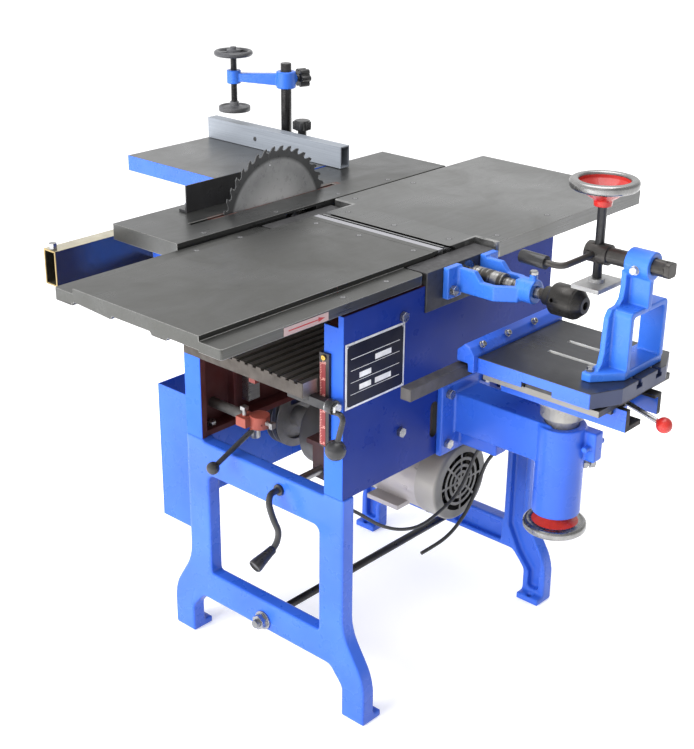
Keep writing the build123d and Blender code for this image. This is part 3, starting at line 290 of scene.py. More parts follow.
# ------------------------------------------------------------------ materials
mats = {}
mats["blue_cast"] = simple("blue_cast", "paint", BLUE, cast=0.10, gloss=0.28, finish={"specular": 0.35, "coat": (0.10, 0.16)})
# lighter copy of the cast blue for the mortiser fittings: painted light
mats["lit_blue_cast"] = simple("lit_blue_cast", "paint", (0.031, 0.142, 0.60, 1), cast=0.10, gloss=0.28, finish={"specular": 0.35, "coat": (0.10, 0.16)})
mats["blue_sheet"] = simple("blue_sheet", "paint", (0.020, 0.086, 0.49, 1), cast=0.0, gloss=0.26, finish={"specular": 0.35, "coat": (0.10, 0.14)})
# brighter iron for the table edge breaks: partly worn metal, partly painted highlight
mats["iron_edge"] = simple("iron_edge", "ground", (0.27, 0.27, 0.265, 1), rough=(0.24, 0.36))
mats["steel"] = simple("steel", "bare", STEEL, rough=0.26)
mats["bright_steel"] = simple("bright_steel", "bare", (0.46, 0.463, 0.468, 1), rough=0.26)
mats["column_steel"] = simple("column_steel", "bare", (0.34, 0.33, 0.31, 1), rough=0.34, metal=0.75)
mats["steel_y"] = simple("steel_y", "ground", (0.50, 0.505, 0.515, 1), along="Y", rough=(0.2, 0.34), stain=0.15)
mats["steel_x"] = simple("steel_x", "ground", (0.48, 0.485, 0.495, 1), along="X", rough=(0.22, 0.36), stain=0.15)
mats["mid_steel"] = simple("mid_steel", "bare", (0.36, 0.36, 0.36, 1), rough=0.42, metal=0.6)
mats["dark_bar"] = simple("dark_bar", "bare", (0.085, 0.080, 0.080, 1), rough=0.42, metal=0.7)
mats["bearing_iron"] = simple("bearing_iron", "bare", (0.080, 0.079, 0.082, 1), rough=0.46, cast=0.08, metal=0.75)
mats["dark_iron"] = simple("dark_iron", "bare", (0.10, 0.10, 0.104, 1), rough=0.46, cast=0.10, metal=0.7)
mats["black_steel"] = simple("black_steel", "paint", BLACK, gloss=0.30, dust=0.05)
mats["black_oxide"] = simple("black_oxide", "bare", (0.042, 0.041, 0.042, 1), rough=0.32, metal=0.8)
mats["black_plastic"] = simple("black_plastic", "plastic", (0.014, 0.014, 0.015, 1), rough=0.30)
mats["rubber"] = simple("rubber", "plastic", (0.022, 0.022, 0.023, 1), rough=0.5, grain=0.05)
mats["brass"] = simple("brass", "bare", lin(206, 168, 84), rough=0.25)
mats["motor_dark"] = simple("motor_dark", "paint", lin(58, 59, 62), gloss=0.30, dust=0.06)
mats["primer"] = simple("primer", "paint", PRIMER, cast=0.10, gloss=0.55, dust=0.10)
mats["white_plate"] = simple("white_plate", "bare", (0.72, 0.72, 0.71, 1), rough=0.35, metal=0.3, spot=0.12)
mats["plate_face"] = simple("plate_face", "paint", lin(13, 14, 30), gloss=0.36, dust=0.02, finish={"specular": 0.2})
mats["plate_marks"] = simple("plate_marks", "bare", (0.80, 0.80, 0.80, 1), rough=0.45, metal=0.1, spot=0.15)
mats["aged_plate"] = simple("aged_plate", "paint", lin(186, 160, 156), gloss=0.45, dust=0.20)
mats["red_print"] = simple("red_print", "paint", lin(176, 38, 40), gloss=0.4, dust=0.06)
mats["scale_red"] = simple("scale_red", "paint", lin(112, 26, 30), gloss=0.45, dust=0.10)
mats["scale_marks"] = simple("scale_marks", "paint", lin(214, 160, 150), gloss=0.45, dust=0.06)

# zinc-plated rail, a little yellow, browner on its cut end, its -Y face painted dark as painted reflection and shade,
# its +Y face a darker streaked gold
m = Mat("zinc_rail")
lay = m.bare((0.60, 0.56, 0.44, 1), rough=0.17, spot=0.2, metal=0.92)
lay["color"] = m.mix(m.span(m.noise(9, 4, 0.6, m.scaled(0.5, 3, 3)), 0.4, 0.7, 0, 0.55), lay["color"], (0.56, 0.49, 0.32, 1))
# -Y face painted dark: painted reflection and shade
lay["color"] = m.mix(m.facing((0, -1, 0), 0.8), lay["color"], (0.17, 0.16, 0.14, 1))
# +Y face a darker streaked gold
tone_patch = m.mix(m.span(m.noise(16, 4, 0.6, m.scaled(0.6, 2, 2)), 0.35, 0.7), (0.22, 0.185, 0.105, 1), (0.33, 0.29, 0.19, 1))
lay["color"] = m.mix(m.facing((0, 1, 0), 0.8), lay["color"], tone_patch)
end = m.bare((0.36, 0.27, 0.12, 1), rough=0.45, metal=0.5)
mats["zinc"] = m.finish(m.mixed(m.under("X", -411.5), lay, end))

# planer tables: ground tops, rough-cast undersides, worn bright beside the cutter block
for name, base in (("infeed", (0.098, 0.099, 0.095, 1)), ("outfeed", (0.178, 0.180, 0.179, 1))):
    m = Mat(name + "_iron")
    top = m.ground(base, along="X", rough=(0.27, 0.42))
    low = m.bare((0.075, 0.074, 0.071, 1), rough=0.5, cast=0.10, metal=0.6)
    lay = m.mixed(m.under("Z", 797.5), top, low)
    tone_patch = m.both(m.inside(x=(80, 121), z=(797, 827)), m.either(m.over("Y", 150), m.under("Y", -150)))
    tone_patch = m.math("MULTIPLY", tone_patch, m.span(m.noise(45, 4, 0.6), 0.36, 0.60))
    lay["color"] = m.mix(m.math("MULTIPLY", tone_patch, 0.75), lay["color"], (0.42, 0.42, 0.415, 1))
    mats[name] = m.finish(lay)

# lip of the infeed table: bright only along the cutter edge, a painted highlight
m = Mat("lip_steel")
pale = m.ground((0.36, 0.36, 0.39, 1), along="Y", rough=(0.3, 0.42), stain=0.1, metal=0.6)
rest = m.ground((0.098, 0.099, 0.095, 1), along="Y", rough=(0.27, 0.42))
mats["lip"] = m.finish(m.mixed(m.over("X", 2), rest, pale))

# saw table: ground top and edges, blue brackets below, stained edges on the blade slot
m = Mat("saw_table_iron")
top = m.ground((0.120, 0.122, 0.122, 1), along="X", rough=(0.27, 0.42))
low = m.paint(BLUE, cast=0.10)
lay = m.mixed(m.under("Z", 793.8), top, low)
slot_rust = m.bare((0.13, 0.055, 0.045, 1), rough=0.6, metal=0.3)
lay = m.mixed(m.math("MULTIPLY", m.inside(x=(-152, 214), y=(277, 293), z=(797, None)), m.span(m.noise(60, 4, 0.6), 0.36, 0.52, 0.25, 0.95)), lay, slot_rust)
mats["saw_table"] = m.finish(lay)

# sliding table: ground top, blue sides and runner
m = Mat("sliding_table_iron")
top = m.ground((0.183, 0.185, 0.188, 1), along="X", rough=(0.27, 0.40))
side = m.paint(BLUE, cast=0.06)
mats["sliding"] = m.finish(m.mixed(m.facing((0, 0, 1), 0.8), side, top), specular=0.45)

# mortise table: ground top, T-slot floors painted pale as painted light, blue front edge, the other edges a dark
# blue-grey copy of the blue as painted shade
m = Mat("mortise_table_iron")
top = m.ground((0.086, 0.088, 0.095, 1), along="Y", rough=(0.28, 0.44))
# all but the front edge in a dark blue-grey copy of the blue: painted shade
side = m.mixed(m.under("X", -95.5), m.paint(lin(44, 54, 88), cast=0.06, gloss=0.35), m.paint(BLUE, cast=0.06))
# pale slot floors: painted light showing in the slots
painted_light_slot_floors = m.bare((0.62, 0.62, 0.60, 1), rough=0.45, metal=0.25)
lay = m.mixed(m.over("Z", 694.0), side, top)
in_slot = m.both(m.inside(z=(679, 694.6), y=(-562, -396.5)), m.either(m.inside(x=(3.9, 22.1)), m.inside(x=(65.9, 84.1))))
lay = m.mixed(in_slot, lay, painted_light_slot_floors)
way = m.bare((0.09, 0.09, 0.09, 1), rough=0.45, metal=0.7)
lay = m.mixed(m.inside(x=(-96.8, 154.8), y=(-480.7, -419.3), z=(None, 676.8)), lay, way)
mats["mortise_table"] = m.finish(lay)

# thickness table: ground grooved top, its colour lightened as painted light against the shade under the tables, groove
# floors painted dark as painted shade, primer below, dark lock bar and bright stud
m = Mat("thickness_iron")
# top colour lightened: painted light
top = m.ground((0.50, 0.465, 0.440, 1), along="X", rough=(0.34, 0.50), stain=0.6)
top["color"] = m.mix(m.facing((1, 0, 0), 0.7), top["color"], (0.17, 0.158, 0.150, 1))
low = m.paint(PRIMER, cast=0.10, gloss=0.55)
rod = m.ground((0.30, 0.30, 0.298, 1), along="Y", rough=(0.28, 0.40))
bar = m.bare((0.045, 0.045, 0.047, 1), rough=0.46, metal=0.5)
# dark groove floors: painted shade
shaded_groove = m.bare((0.085, 0.078, 0.071, 1), rough=0.55, metal=0.5)
deep = m.both(m.inside(x=(-345.5, 345.5), z=(666.6, 670.6)), m.math("LESS_THAN", m.math("FRACT", m.math("MULTIPLY", m.math("ADD", m.axis("Y"), 0.150 - 0.0119), 50.0)), 0.4))
lay = m.mixed(m.under("Z", 643.6), top, low)
lay = m.mixed(deep, lay, shaded_groove)
front = m.bare((0.070, 0.060, 0.053, 1), rough=0.5, metal=0.5, spot=0.5)
lay = m.mixed(m.inside(x=(None, -345.0), z=(643.6, 671.2)), lay, front)
lay = m.mixed(m.inside(x=(-332, -312), z=(None, 645.2), y=(None, -95.5)), lay, bar)
lay = m.mixed(m.under("Y", -187.5), lay, rod)
mats["thickness"] = m.finish(lay)

# body sides: primer inside; outside, blue end flanges and side panels in a darker copy of the blue that is painted
# shade
for name, outer in (("body_right", ("under", -201.0)), ("body_left", ("over", 201.0))):
    m = Mat(name)
    out = m.mixed(m.either(m.under("X", -300.8), m.over("X", 300.8)), m.paint(SHADED_BLUE, cast=0.05, gloss=0.30), m.paint(BLUE, cast=0.05, gloss=0.30))
    inn = m.paint(lin(74, 30, 30), cast=0.12, gloss=0.55, dust=0.08)
    mask = m.either(getattr(m, outer[0])("Y", outer[1]), m.under("X", -300.8), m.over("X", 300.8))
    lay = m.mixed(mask, inn, out)
    if name == "body_right":
        # black on the plate's inner faces at x -66 to -40, z 484 to 562: painted shade
        lay = m.mixed(m.inside(x=(-66, -40), y=(-201.5, None), z=(484, 562)), lay, m.paint(BLACK, gloss=0.5))
    mats[name] = m.finish(lay, specular=0.12)

# plates between the legs: dull primer coat
mats["inner_primer"] = simple("inner_primer", "paint", lin(52, 30, 31), cast=0.10, gloss=0.55, dust=0.06)

# belt guard: blue inside and out
m = Mat("guard_sheet")
lay = m.paint((0.015, 0.090, 0.50, 1), gloss=0.26, dust=0.006)
mats["guard"] = m.finish(lay, coat=(0.08, 0.14), specular=0.3)

# wheels: chromed rim, red dished web, oiled rod
for name, cx, cy, z in (("wheel_low", 27, -427, 387.5), ("wheel_top", 41, -464, 963)):
    m = Mat(name)
    chrome = m.bare((0.30, 0.298, 0.295, 1), rough=0.27, spot=0.25)
    web = m.paint(lin(206, 56, 42) if name == "wheel_low" else RED, gloss=0.26, dust=0.05)
    rod = m.bare((0.05, 0.05, 0.052, 1), rough=0.36, metal=0.75)
    rad = m.radial("X", "Y", cx, cy)
    lay = m.mixed(m.math("LESS_THAN", rad, 42.5 * MM), chrome, web)
    away = m.under("Z", z) if name == "wheel_top" else m.over("Z", z)
    lay = m.mixed(m.both(m.math("LESS_THAN", rad, 10.5 * MM), away), lay, rod)
    mats[name] = m.finish(lay)

# hold-down wheel and screw: black enamel wheel, oiled thread
m = Mat("hold_wheel")
wheel = m.paint((0.040, 0.040, 0.042, 1), gloss=0.34, dust=0.16)
rod = m.bare((0.055, 0.054, 0.055, 1), rough=0.34, metal=0.8)
thread = m.math("MULTIPLY", m.math("SINE", m.math("MULTIPLY", m.axis("Z"), 2 * pi / 0.003)), 0.32)
rod["height"] = m.math("ADD", rod["height"], thread)
mats["hold_screw"] = m.finish(m.mixed(m.under("Z", 1028), wheel, rod))
mats["hold_pad"] = simple("hold_pad", "paint", (0.050, 0.050, 0.052, 1), gloss=0.36, dust=0.18)

# feed lever: red-oxide clamp block, steel bolts, black rod and ball
m = Mat("feed_clamp")
blk = m.paint(lin(136, 66, 54), cast=0.16, gloss=0.55, dust=0.10)
rod = m.paint(BLACK, gloss=0.28, dust=0.05)
blt = m.bare((0.38, 0.38, 0.38, 1), rough=0.34)
shf = m.bare((0.20, 0.195, 0.19, 1), rough=0.42, metal=0.7)
lay = m.mixed(m.over("Z", 514.2), blk, blt)
lay = m.mixed(m.under("Y", 40.8), lay, blt)
lay = m.mixed(m.under("Z", 488.9), lay, rod)
lay = m.mixed(m.both(m.under("Z", 488.9), m.math("LESS_THAN", m.radial("X", "Y", -253, 64), 10.4 * MM)), lay, blt)
lay = m.mixed(m.over("Y", 92.5), lay, shf)
mats["feed_lever"] = m.finish(lay)

# plunge lever: plated rod, red ball
m = Mat("plunge_rod")
rod = m.bare((0.45, 0.45, 0.45, 1), rough=0.3)
red = m.paint(RED, gloss=0.25, dust=0.03)
mats["plunge"] = m.finish(m.mixed(m.under("Y", -602.2), rod, red))

# lock lever: black hub, neck and ball
m = Mat("lock_handle")
mats["lock"] = m.finish(m.plastic((0.022, 0.022, 0.024, 1), rough=0.28))

# crank: oiled shaft, black arm and grip
m = Mat("crank_black")
arm = m.paint(BLACK, gloss=0.30, dust=0.06)
shaft = m.bare((0.33, 0.33, 0.33, 1), rough=0.36)
mats["crank"] = m.finish(m.mixed(m.over("X", -302), arm, shaft))

# tie rod: oiled bar, plated ends
m = Mat("tie_bar")
rod = m.bare((0.042, 0.041, 0.042, 1), rough=0.34, metal=0.8)
tip = m.bare((0.27, 0.272, 0.27, 1), rough=0.36)
mats["tie"] = m.finish(m.mixed(m.either(m.under("X", -303), m.over("X", 303)), rod, tip))

# clamp bar: black bar, black bent handle with a grip
m = Mat("clamp_bar_black")
bar = m.bare((0.070, 0.066, 0.063, 1), rough=0.38, metal=0.75)
grip = m.plastic((0.012, 0.012, 0.013, 1), rough=0.3)
mats["clamp_bar"] = m.finish(m.mixed(m.both(m.under("X", -40), m.over("Y", -433.5)), bar, grip))

# saw blade: tensioned plate with lathe rings, a painted highlight across the middle, darker toothed rim
m = Mat("saw_plate")
base = m.bare((0.35, 0.353, 0.358, 1), rough=0.36, spot=0.25, metal=0.30)
rad = m.radial("X", "Z", 27, 788)
rings = m.math("SINE", m.math("MULTIPLY", rad, 2 * pi / 0.0011))
cloud = m.noise(14, 4, 0.6)
base["color"] = m.mix(m.span(cloud, 0.35, 0.7, 0, 0.55), base["color"], (0.25, 0.253, 0.258, 1))
# paler middle: painted highlight
base["color"] = m.mix(m.span(rad, 0.050, 0.100, 0.9, 0.0), base["color"], (0.58, 0.58, 0.58, 1))
base["color"] = m.mix(m.span(rad, 0.119, 0.126, 0, 0.85), base["color"], (0.034, 0.035, 0.037, 1))
base["rough"] = m.math("ADD", base["rough"], m.math("MULTIPLY", rings, 0.05))
base["height"] = m.math("ADD", base["height"], m.math("MULTIPLY", rings, 0.006))
mats["blade"] = m.finish(base)

# chuck and spindle
m = Mat("chuck_steel")
body = m.bare((0.046, 0.044, 0.042, 1), rough=0.34, metal=0.8)
mats["chuck"] = m.finish(body)
m = Mat("spindle_steel")
body = m.bare((0.36, 0.355, 0.345, 1), rough=0.28)
rings = m.math("MULTIPLY", m.math("SINE", m.math("MULTIPLY", m.axis("Y"), 2 * pi / 0.0016)), 0.02)
body["height"] = m.math("ADD", body["height"], rings)
oil = m.bare((0.055, 0.05, 0.045, 1), rough=0.35, metal=0.75)
lay = m.mixed(m.span(m.noise(26, 3, 0.6, m.scaled(0.4, 2.2, 0.4)), 0.46, 0.54), body, oil)
mats["spindle"] = m.finish(lay)

# motor: silver-beige enamel shell with its back beyond y -40 painted dark as shade inside the body, dark terminal box,
# grey cover face
m = Mat("motor_shell")
shell = m.mixed(m.over("Y", -40), m.paint(lin(168, 163, 163), gloss=0.32, dust=0.06, metal=0.30), m.paint(lin(66, 64, 60), gloss=0.5, dust=0.08))
box = m.paint(lin(52, 53, 56), gloss=0.4)
mats["motor"] = m.finish(m.mixed(m.over("X", 106), shell, box), coat=(0.15, 0.2))
m = Mat("fan_cover")
shell = m.paint(lin(152, 149, 146), gloss=0.36, dust=0.06, metal=0.30)
face = m.paint(lin(96, 96, 97), gloss=0.42, dust=0.04)
# inside of the cover painted near black: painted shade
inside = m.paint(lin(16, 16, 17), gloss=0.6, dust=0.03)
lay = m.mixed(m.span(m.axis("Y"), -0.2095, -0.2035, 1, 0), shell, face)
hollow = m.both(m.math("LESS_THAN", m.radial("X", "Z", 27, 368), 68.3 * MM), m.over("Y", -210.3))
mats["fan_cover"] = m.finish(m.mixed(hollow, lay, inside))
m = Mat("rotor_parts")
iron = m.bare((0.22, 0.212, 0.20, 1), rough=0.46, cast=0.06, metal=0.5)
fan = m.plastic((0.014, 0.014, 0.015, 1), rough=0.45)
mats["rotor"] = m.finish(m.mixed(m.under("Y", -164), iron, fan))

# thickness scale: black backing, and the post it stands on
m = Mat("scale_back")
mats["scale"] = m.finish(m.paint(lin(28, 25, 28), gloss=0.35))

# mortise base: blue casting, dark bare ways, and near-black inside the trough and at the open end as painted shade
m = Mat("mortise_base_cast")
out = m.paint(BLUE, cast=0.10)
inn = m.bare((0.030, 0.030, 0.032, 1), rough=0.55, metal=0.5)
inner = m.either(m.inside(x=(-17.4, 71.4), z=(619, 651.4)), m.under("Y", -584.4), m.both(m.inside(x=(-28.8, 82.8), z=(651.5, None)), m.facing((0, 0, 1), 0.7)))
mats["mortise_base"] = m.finish(m.mixed(inner, out, inn))

# saddle: dark slide plate with a bright front edge
m = Mat("saddle_plate")
pl = m.ground((0.25, 0.243, 0.228, 1), along="Y", rough=(0.3, 0.44), metal=0.6)
dk = m.bare((0.07, 0.07, 0.072, 1), rough=0.45, metal=0.7)
mats["saddle"] = m.finish(m.mixed(m.inside(x=(None, -85.2), z=(652, 664.4)), dk, pl))

# mitre fence: drawn aluminium with its black bracket foot
m = Mat("fence_and_bracket")
ex = m.ground((0.27, 0.295, 0.335, 1), along="Y", rough=(0.40, 0.48), stain=0.08, lines=0.006, metal=0.35)
bk = m.paint(BLACK, gloss=0.3, dust=0.06)
mats["fence"] = m.finish(m.mixed(m.over("X", 324.2), ex, bk))

node_mats = {
    "blue_cast": ["leg_frame_front", "leg_frame_rear", "mortise_arm", "mortise_fence"],
    "lit_blue_cast": ["drill_yoke", "clamp_bracket", "hold_arm"],
    "inner_primer": ["motor_plate", "lift_bridge"],
    "guard": ["belt_guard"],
    "body_right": ["side_plate_right"], "body_left": ["side_plate_left"],
    "infeed": ["infeed_table"], "outfeed": ["outfeed_table"], "saw_table": ["saw_table"], "sliding": ["sliding_table"],
    "thickness": ["thickness_table"], "mortise_table": ["mortise_table"],
    "bearing_iron": ["bearing_blocks"],
    "steel": ["frame_bolts", "spindle_bearings", "cutter_knives", "blade_flanges", "lift_screw"],
    "mid_steel": ["clamp_foot"],
    "steel_y": ["cutter_block", "feed_roller_in", "feed_roller_out"],
    "tie": ["tie_rod"],
    "spindle": ["cutter_spindle"], "blade": ["saw_blade"], "chuck": ["drill_chuck"],
    "column_steel": ["mortise_column"],
    "lip": ["infeed_lip"],
    "steel_x": ["guide_bars"],
    "dark_bar": ["stop_bar"],
    "black_steel": ["rip_plate"],
    "hold_pad": ["hold_pad"],
    "black_oxide": ["hold_post"],
    "hold_screw": ["hold_screw"], "clamp_bar": ["clamp_bar"], "crank": ["crank"], "lock": ["lock_lever"],
    "scale": ["thickness_scale"], "zinc": ["slide_rail"], "fence": ["mitre_fence"],
    "black_plastic": ["fence_knob", "star_knob"],
    "feed_lever": ["feed_lever"], "plunge": ["plunge_lever"],
    "wheel_low": ["lift_handwheel"], "wheel_top": ["clamp_screw"],
    "motor": ["motor_housing"], "fan_cover": ["motor_fan_cover"], "rotor": ["motor_rotor"],
    "rubber": ["v_belts"], "mortise_base": ["mortise_base"], "saddle": ["mortise_saddle"],
}
# sand-cast pieces: voxel size, mm, and smoothing passes that round every edge and corner
castings = {
    "leg_frame_front": (2.4, 7), "leg_frame_rear": (2.4, 7), "drill_yoke": (1.5, 6), "mortise_arm": (1.8, 7),
    "mortise_fence": (1.5, 5), "clamp_bracket": (1.3, 6), "hold_arm": (1.2, 6),
}
# edge breaks, mm, and the finish that shows on them; the brighter iron on the table edges is partly worn metal, partly
# painted highlight
edges = {
    "side_plate_right": (1.2, None),
    "side_plate_left": (1.2, None), "infeed_table": (0.9, "iron_edge"), "outfeed_table": (0.9, "iron_edge"),
    "saw_table": (0.9, "iron_edge"), "sliding_table": (0.9, None), "mortise_table": (0.9, None), "bearing_blocks": (1.4, None),
    "frame_bolts": (0.7, None), "thickness_table": (0.5, None), "mitre_fence": (0.5, None), "stop_bar": (0.8, None),
    "slide_rail": (0.6, None), "clamp_bar": (0.8, None), "mortise_base": (1.4, None), "mortise_saddle": (0.7, None),
    "motor_housing": (1.2, None), "lift_bridge": (0.8, None), "hold_post": (0.8, None), "clamp_foot": (1.0, None),
    "rip_plate": (0.4, None), "belt_guard": (0.4, None), "drill_chuck": (0.6, None), "fence_knob": (1.2, None),
    "star_knob": (1.2, None), "lift_handwheel": (0.7, None), "clamp_screw": (0.7, None), "tie_rod": (0.8, None),
    "feed_lever": (0.8, None), "hold_screw": (0.7, None), "hold_pad": (0.6, None), "thickness_scale": (0.4, None),
    "blade_flanges": (0.8, None), "mortise_column": (0.8, None), "crank": (0.6, None), "lock_lever": (0.8, None),
}
for key, names in node_mats.items():
    for n in names:
        o = nodes[n]
        o.data.materials.clear()
        o.data.materials.append(mats[key])
        if n in castings:
            w = o.modifiers.new("weld", "WELD")
            w.merge_threshold = 0.000005
            r = o.modifiers.new("skin", "REMESH")
            r.mode = "VOXEL"
            r.voxel_size = castings[n][0] * MM
            r.use_smooth_shade = True
            sm = o.modifiers.new("round", "SMOOTH")
            sm.factor = 0.5
            sm.iterations = castings[n][1]
        if n in edges:
            width, edge_mat = edges[n]
            w = o.modifiers.new("weld", "WELD")
            w.merge_threshold = 0.000005
            d = o.modifiers.new("flat", "DECIMATE")
            d.decimate_type = "DISSOLVE"
            d.angle_limit = radians(0.4)
            b = o.modifiers.new("edge", "BEVEL")
            b.limit_method = "ANGLE"
            b.angle_limit = radians(38)
            b.width = width * MM
            b.segments = 2
            b.use_clamp_overlap = False
            b.harden_normals = True
            if edge_mat:
                o.data.materials.append(mats[edge_mat])
                b.material = 1


# ------------------------------------------------------------------ mesh helpers (mm in, m out)
def basis(d, x=None):
    d = Vector(d).normalized()
    if x is None:
        x = Vector((0, 0, 1)) if abs(d.z) < 0.9 else Vector((1, 0, 0))
    x = (Vector(x) - d * Vector(x).dot(d)).normalized()
    return x, d.cross(x), d


class Shape:
    def __init__(self):
        self.v, self.f = [], []

    def ring(self, o, x, y, pts):
        first = len(self.v)
        self.v += [tuple((Vector(o) + x * a + y * b) * MM) for a, b in pts]
        return list(range(first, len(self.v)))

    def loft(self, rings, cap0=True, cap1=True):
        for a, b in zip(rings, rings[1:]):
            n = len(a)
            for i in range(n):
                self.f.append((a[i], a[(i + 1) % n], b[(i + 1) % n], b[i]))
        if cap0:
            self.f.append(tuple(reversed(rings[0])))
        if cap1:
            self.f.append(tuple(rings[-1]))

    def turned(self, o, d, profile, n=32, x=None):
        """A turned piece: profile is (radius, height) from one end to the other."""
        x, y, z = basis(d, x)
        rings = []
        for r, h in profile:
            rings.append(self.ring(Vector(o) + z * h, x, y, [(r * cos(2 * pi * i / n), r * sin(2 * pi * i / n)) for i in range(n)]))
        self.loft(rings)

    def hexagon(self, o, d, flats, h, x=None):
        x, y, z = basis(d, x)
        R = flats / 2 / cos(pi / 6)
        rings = []
        for r, t in ((R * 0.97, 0), (R, h * 0.06), (R, h * 0.72), (R * 0.93, h * 0.9), (R * 0.86, h)):
            rings.append(self.ring(Vector(o) + z * t, x, y, [(r * cos(pi / 3 * i), r * sin(pi / 3 * i)) for i in range(6)]))
        self.loft(rings)

    def prism(self, o, d, x, poly, h, soft=0.0):
        x, y, z = basis(d, x)
        cx = sum(p[0] for p in poly) / len(poly)
        cy = sum(p[1] for p in poly) / len(poly)

        def inset(s):
            out = []
            for a, b in poly:
                L = ((a - cx) ** 2 + (b - cy) ** 2) ** 0.5 or 1
                out.append((a - (a - cx) / L * s, b - (b - cy) / L * s))
            return out

        steps = [(0, 0.0), (0, h)] if not soft else [(0, 0.0), (0, h - soft), (soft, h)]
        self.loft([self.ring(Vector(o) + z * t, x, y, inset(s)) for s, t in steps])

    def screw(self, o, d, r=4.5, h=0.6):
        """Countersunk head standing just proud of the surface."""
        x, y, z = basis(d)
        self.turned(o, d, [(r, 0), (r, h * 0.6), (r * 0.86, h)], 20)

    def make(self, name, mat, body, slot, smooth=38):
        me = bpy.data.meshes.new(name)
        me.from_pydata(self.v, [], self.f)
        me.validate()
        bm = bmesh.new()
        bm.from_mesh(me)
        bmesh.ops.recalc_face_normals(bm, faces=bm.faces)
        for f in bm.faces:
            f.smooth = True
        for e in bm.edges:
            if len(e.link_faces) == 2 and e.calc_face_angle(0) > radians(smooth):
                e.smooth = False
        bm.to_mesh(me)
        bm.free()
        me.materials.append(mats[mat])
        o = bpy.data.objects.new(name, me)
        scene.collection.objects.link(o)
        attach(o, body)
        return o


# ------------------------------------------------------------------ cords
def cable(name, route, r, node):
    cu = bpy.data.curves.new(name, "CURVE")
    cu.dimensions = "3D"
    cu.bevel_depth = r * MM
    cu.bevel_resolution = 5
    cu.resolution_u = 16
    cu.use_fill_caps = True
    sp = cu.splines.new("NURBS")
    sp.points.add(len(route) - 1)
    for p, q in zip(sp.points, route):
        p.co = (q[0] * MM, q[1] * MM, q[2] * MM, 1)
    sp.order_u = 3
    sp.use_endpoint_u = True
    o = bpy.data.objects.new(name, cu)
    cu.materials.append(mats["rubber"])
    scene.collection.objects.link(o)
    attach(o, "frame")
    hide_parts(node)
    boot = Shape()
    boot.turned(route[0], Vector(route[1]) - Vector(route[0]), [(r + 0.2, 0), (r + 4.2, 0), (r + 4.2, 2.5), (r + 3.2, 3), (r + 3.2, 6), (r + 2.6, 6.4), (r + 2.6, 10),
                                                                (r + 2.0, 10.4), (r + 2.0, 14), (r + 1.5, 14.4), (r + 1.5, 18), (r + 1.0, 18.4), (r + 1.0, 21.5), (r + 0.2, 22)], 24)
    b = boot.make(name + "_boot", "black_plastic", "frame", "cable_rubber")
    return o


supply_route = [(118, -202, 474), (118, -237, 474), (92, -261, 472), (61, -258, 465), (47, -245, 452), (41.5, -235.5, 435),
                (39, -229, 418), (36, -225, 400), (28, -222.5, 383), (15, -222, 366), (-2, -222, 352.5), (-22, -222, 344),
                (-49, -222, 337), (-80, -220, 328.5), (-106, -216, 325), (-130, -212, 328), (-157, -207, 336.5),
                (-180, -202, 348), (-202, -197, 362.5), (-220, -192, 378), (-238, -186.5, 394), (-256, -181, 408),
                (-272, -177, 416), (-288, -176, 420)]
lead_route = [(138, -202, 462), (138, -241, 462), (110, -268, 458), (80, -263, 444), (72, -249, 421), (73, -236, 401),
              (71, -229, 379), (64, -225, 356), (53, -224, 332), (40, -223, 311), (23, -221, 293),
              (4, -219, 277.5), (-19, -216, 265.5), (-46, -211, 257.5), (-80, -205, 252)]
gland = Shape()
gland.turned((-287.9, -176, 420), (1, 0, -0.22), [(3.3, 0), (8.0, 0), (8.0, 3.0), (6.4, 3.4), (6.0, 9.0), (4.6, 12.0), (3.3, 12.2)], 24)
gland_o = gland.make("supply_gland", "black_plastic", "frame", "cable_rubber")
cable("supply_cord", supply_route, 3.2, "supply_cable")
cable("motor_cord", lead_route, 3.6, "motor_lead")

# ------------------------------------------------------------------ fittings
# countersunk screws in the table tops, each in a dark ring that is painted shade in the countersink
for body, z, spots in (
    ("infeed", 825.5, [(-30, 8), (-30, 118), (-30, -123)]),
    ("infeed ", 816.0, [(-170, -180), (-280, -180), (-170, 180), (-280, 180)]),
    ("frame", 826.0, [(63, 2), (67, -128), (67, 124), (148, -178), (148, 178), (322, -170), (322, 170)]),
    ("frame ", 826.0, [(-30, 226), (150, 226), (305, 226), (-220, 226)]),
):
    ring, head = Shape(), Shape()
    for x, y in spots:
        ring.turned((x, y, z - 0.5), (0, 0, 1), [(3.0, 0), (6.4, 0.0), (6.4, 0.62), (4.4, 0.66)], 24)
        head.turned((x, y, z - 0.5), (0, 0, 1), [(4.3, 0), (4.3, 0.70), (3.6, 0.82), (1.9, 0.82), (1.9, 0.6)], 24)
    tag = "%s_%d" % (body.strip(), int(z * 10)) + ("_b" if body.endswith(" ") else "_a")
    # dark rings under the heads: painted shade
    ring.make("screw_shade_rings_" + tag, "dark_iron", body.strip(), "dark_iron")
    head.make("screw_heads_" + tag, "steel", body.strip(), "steel")

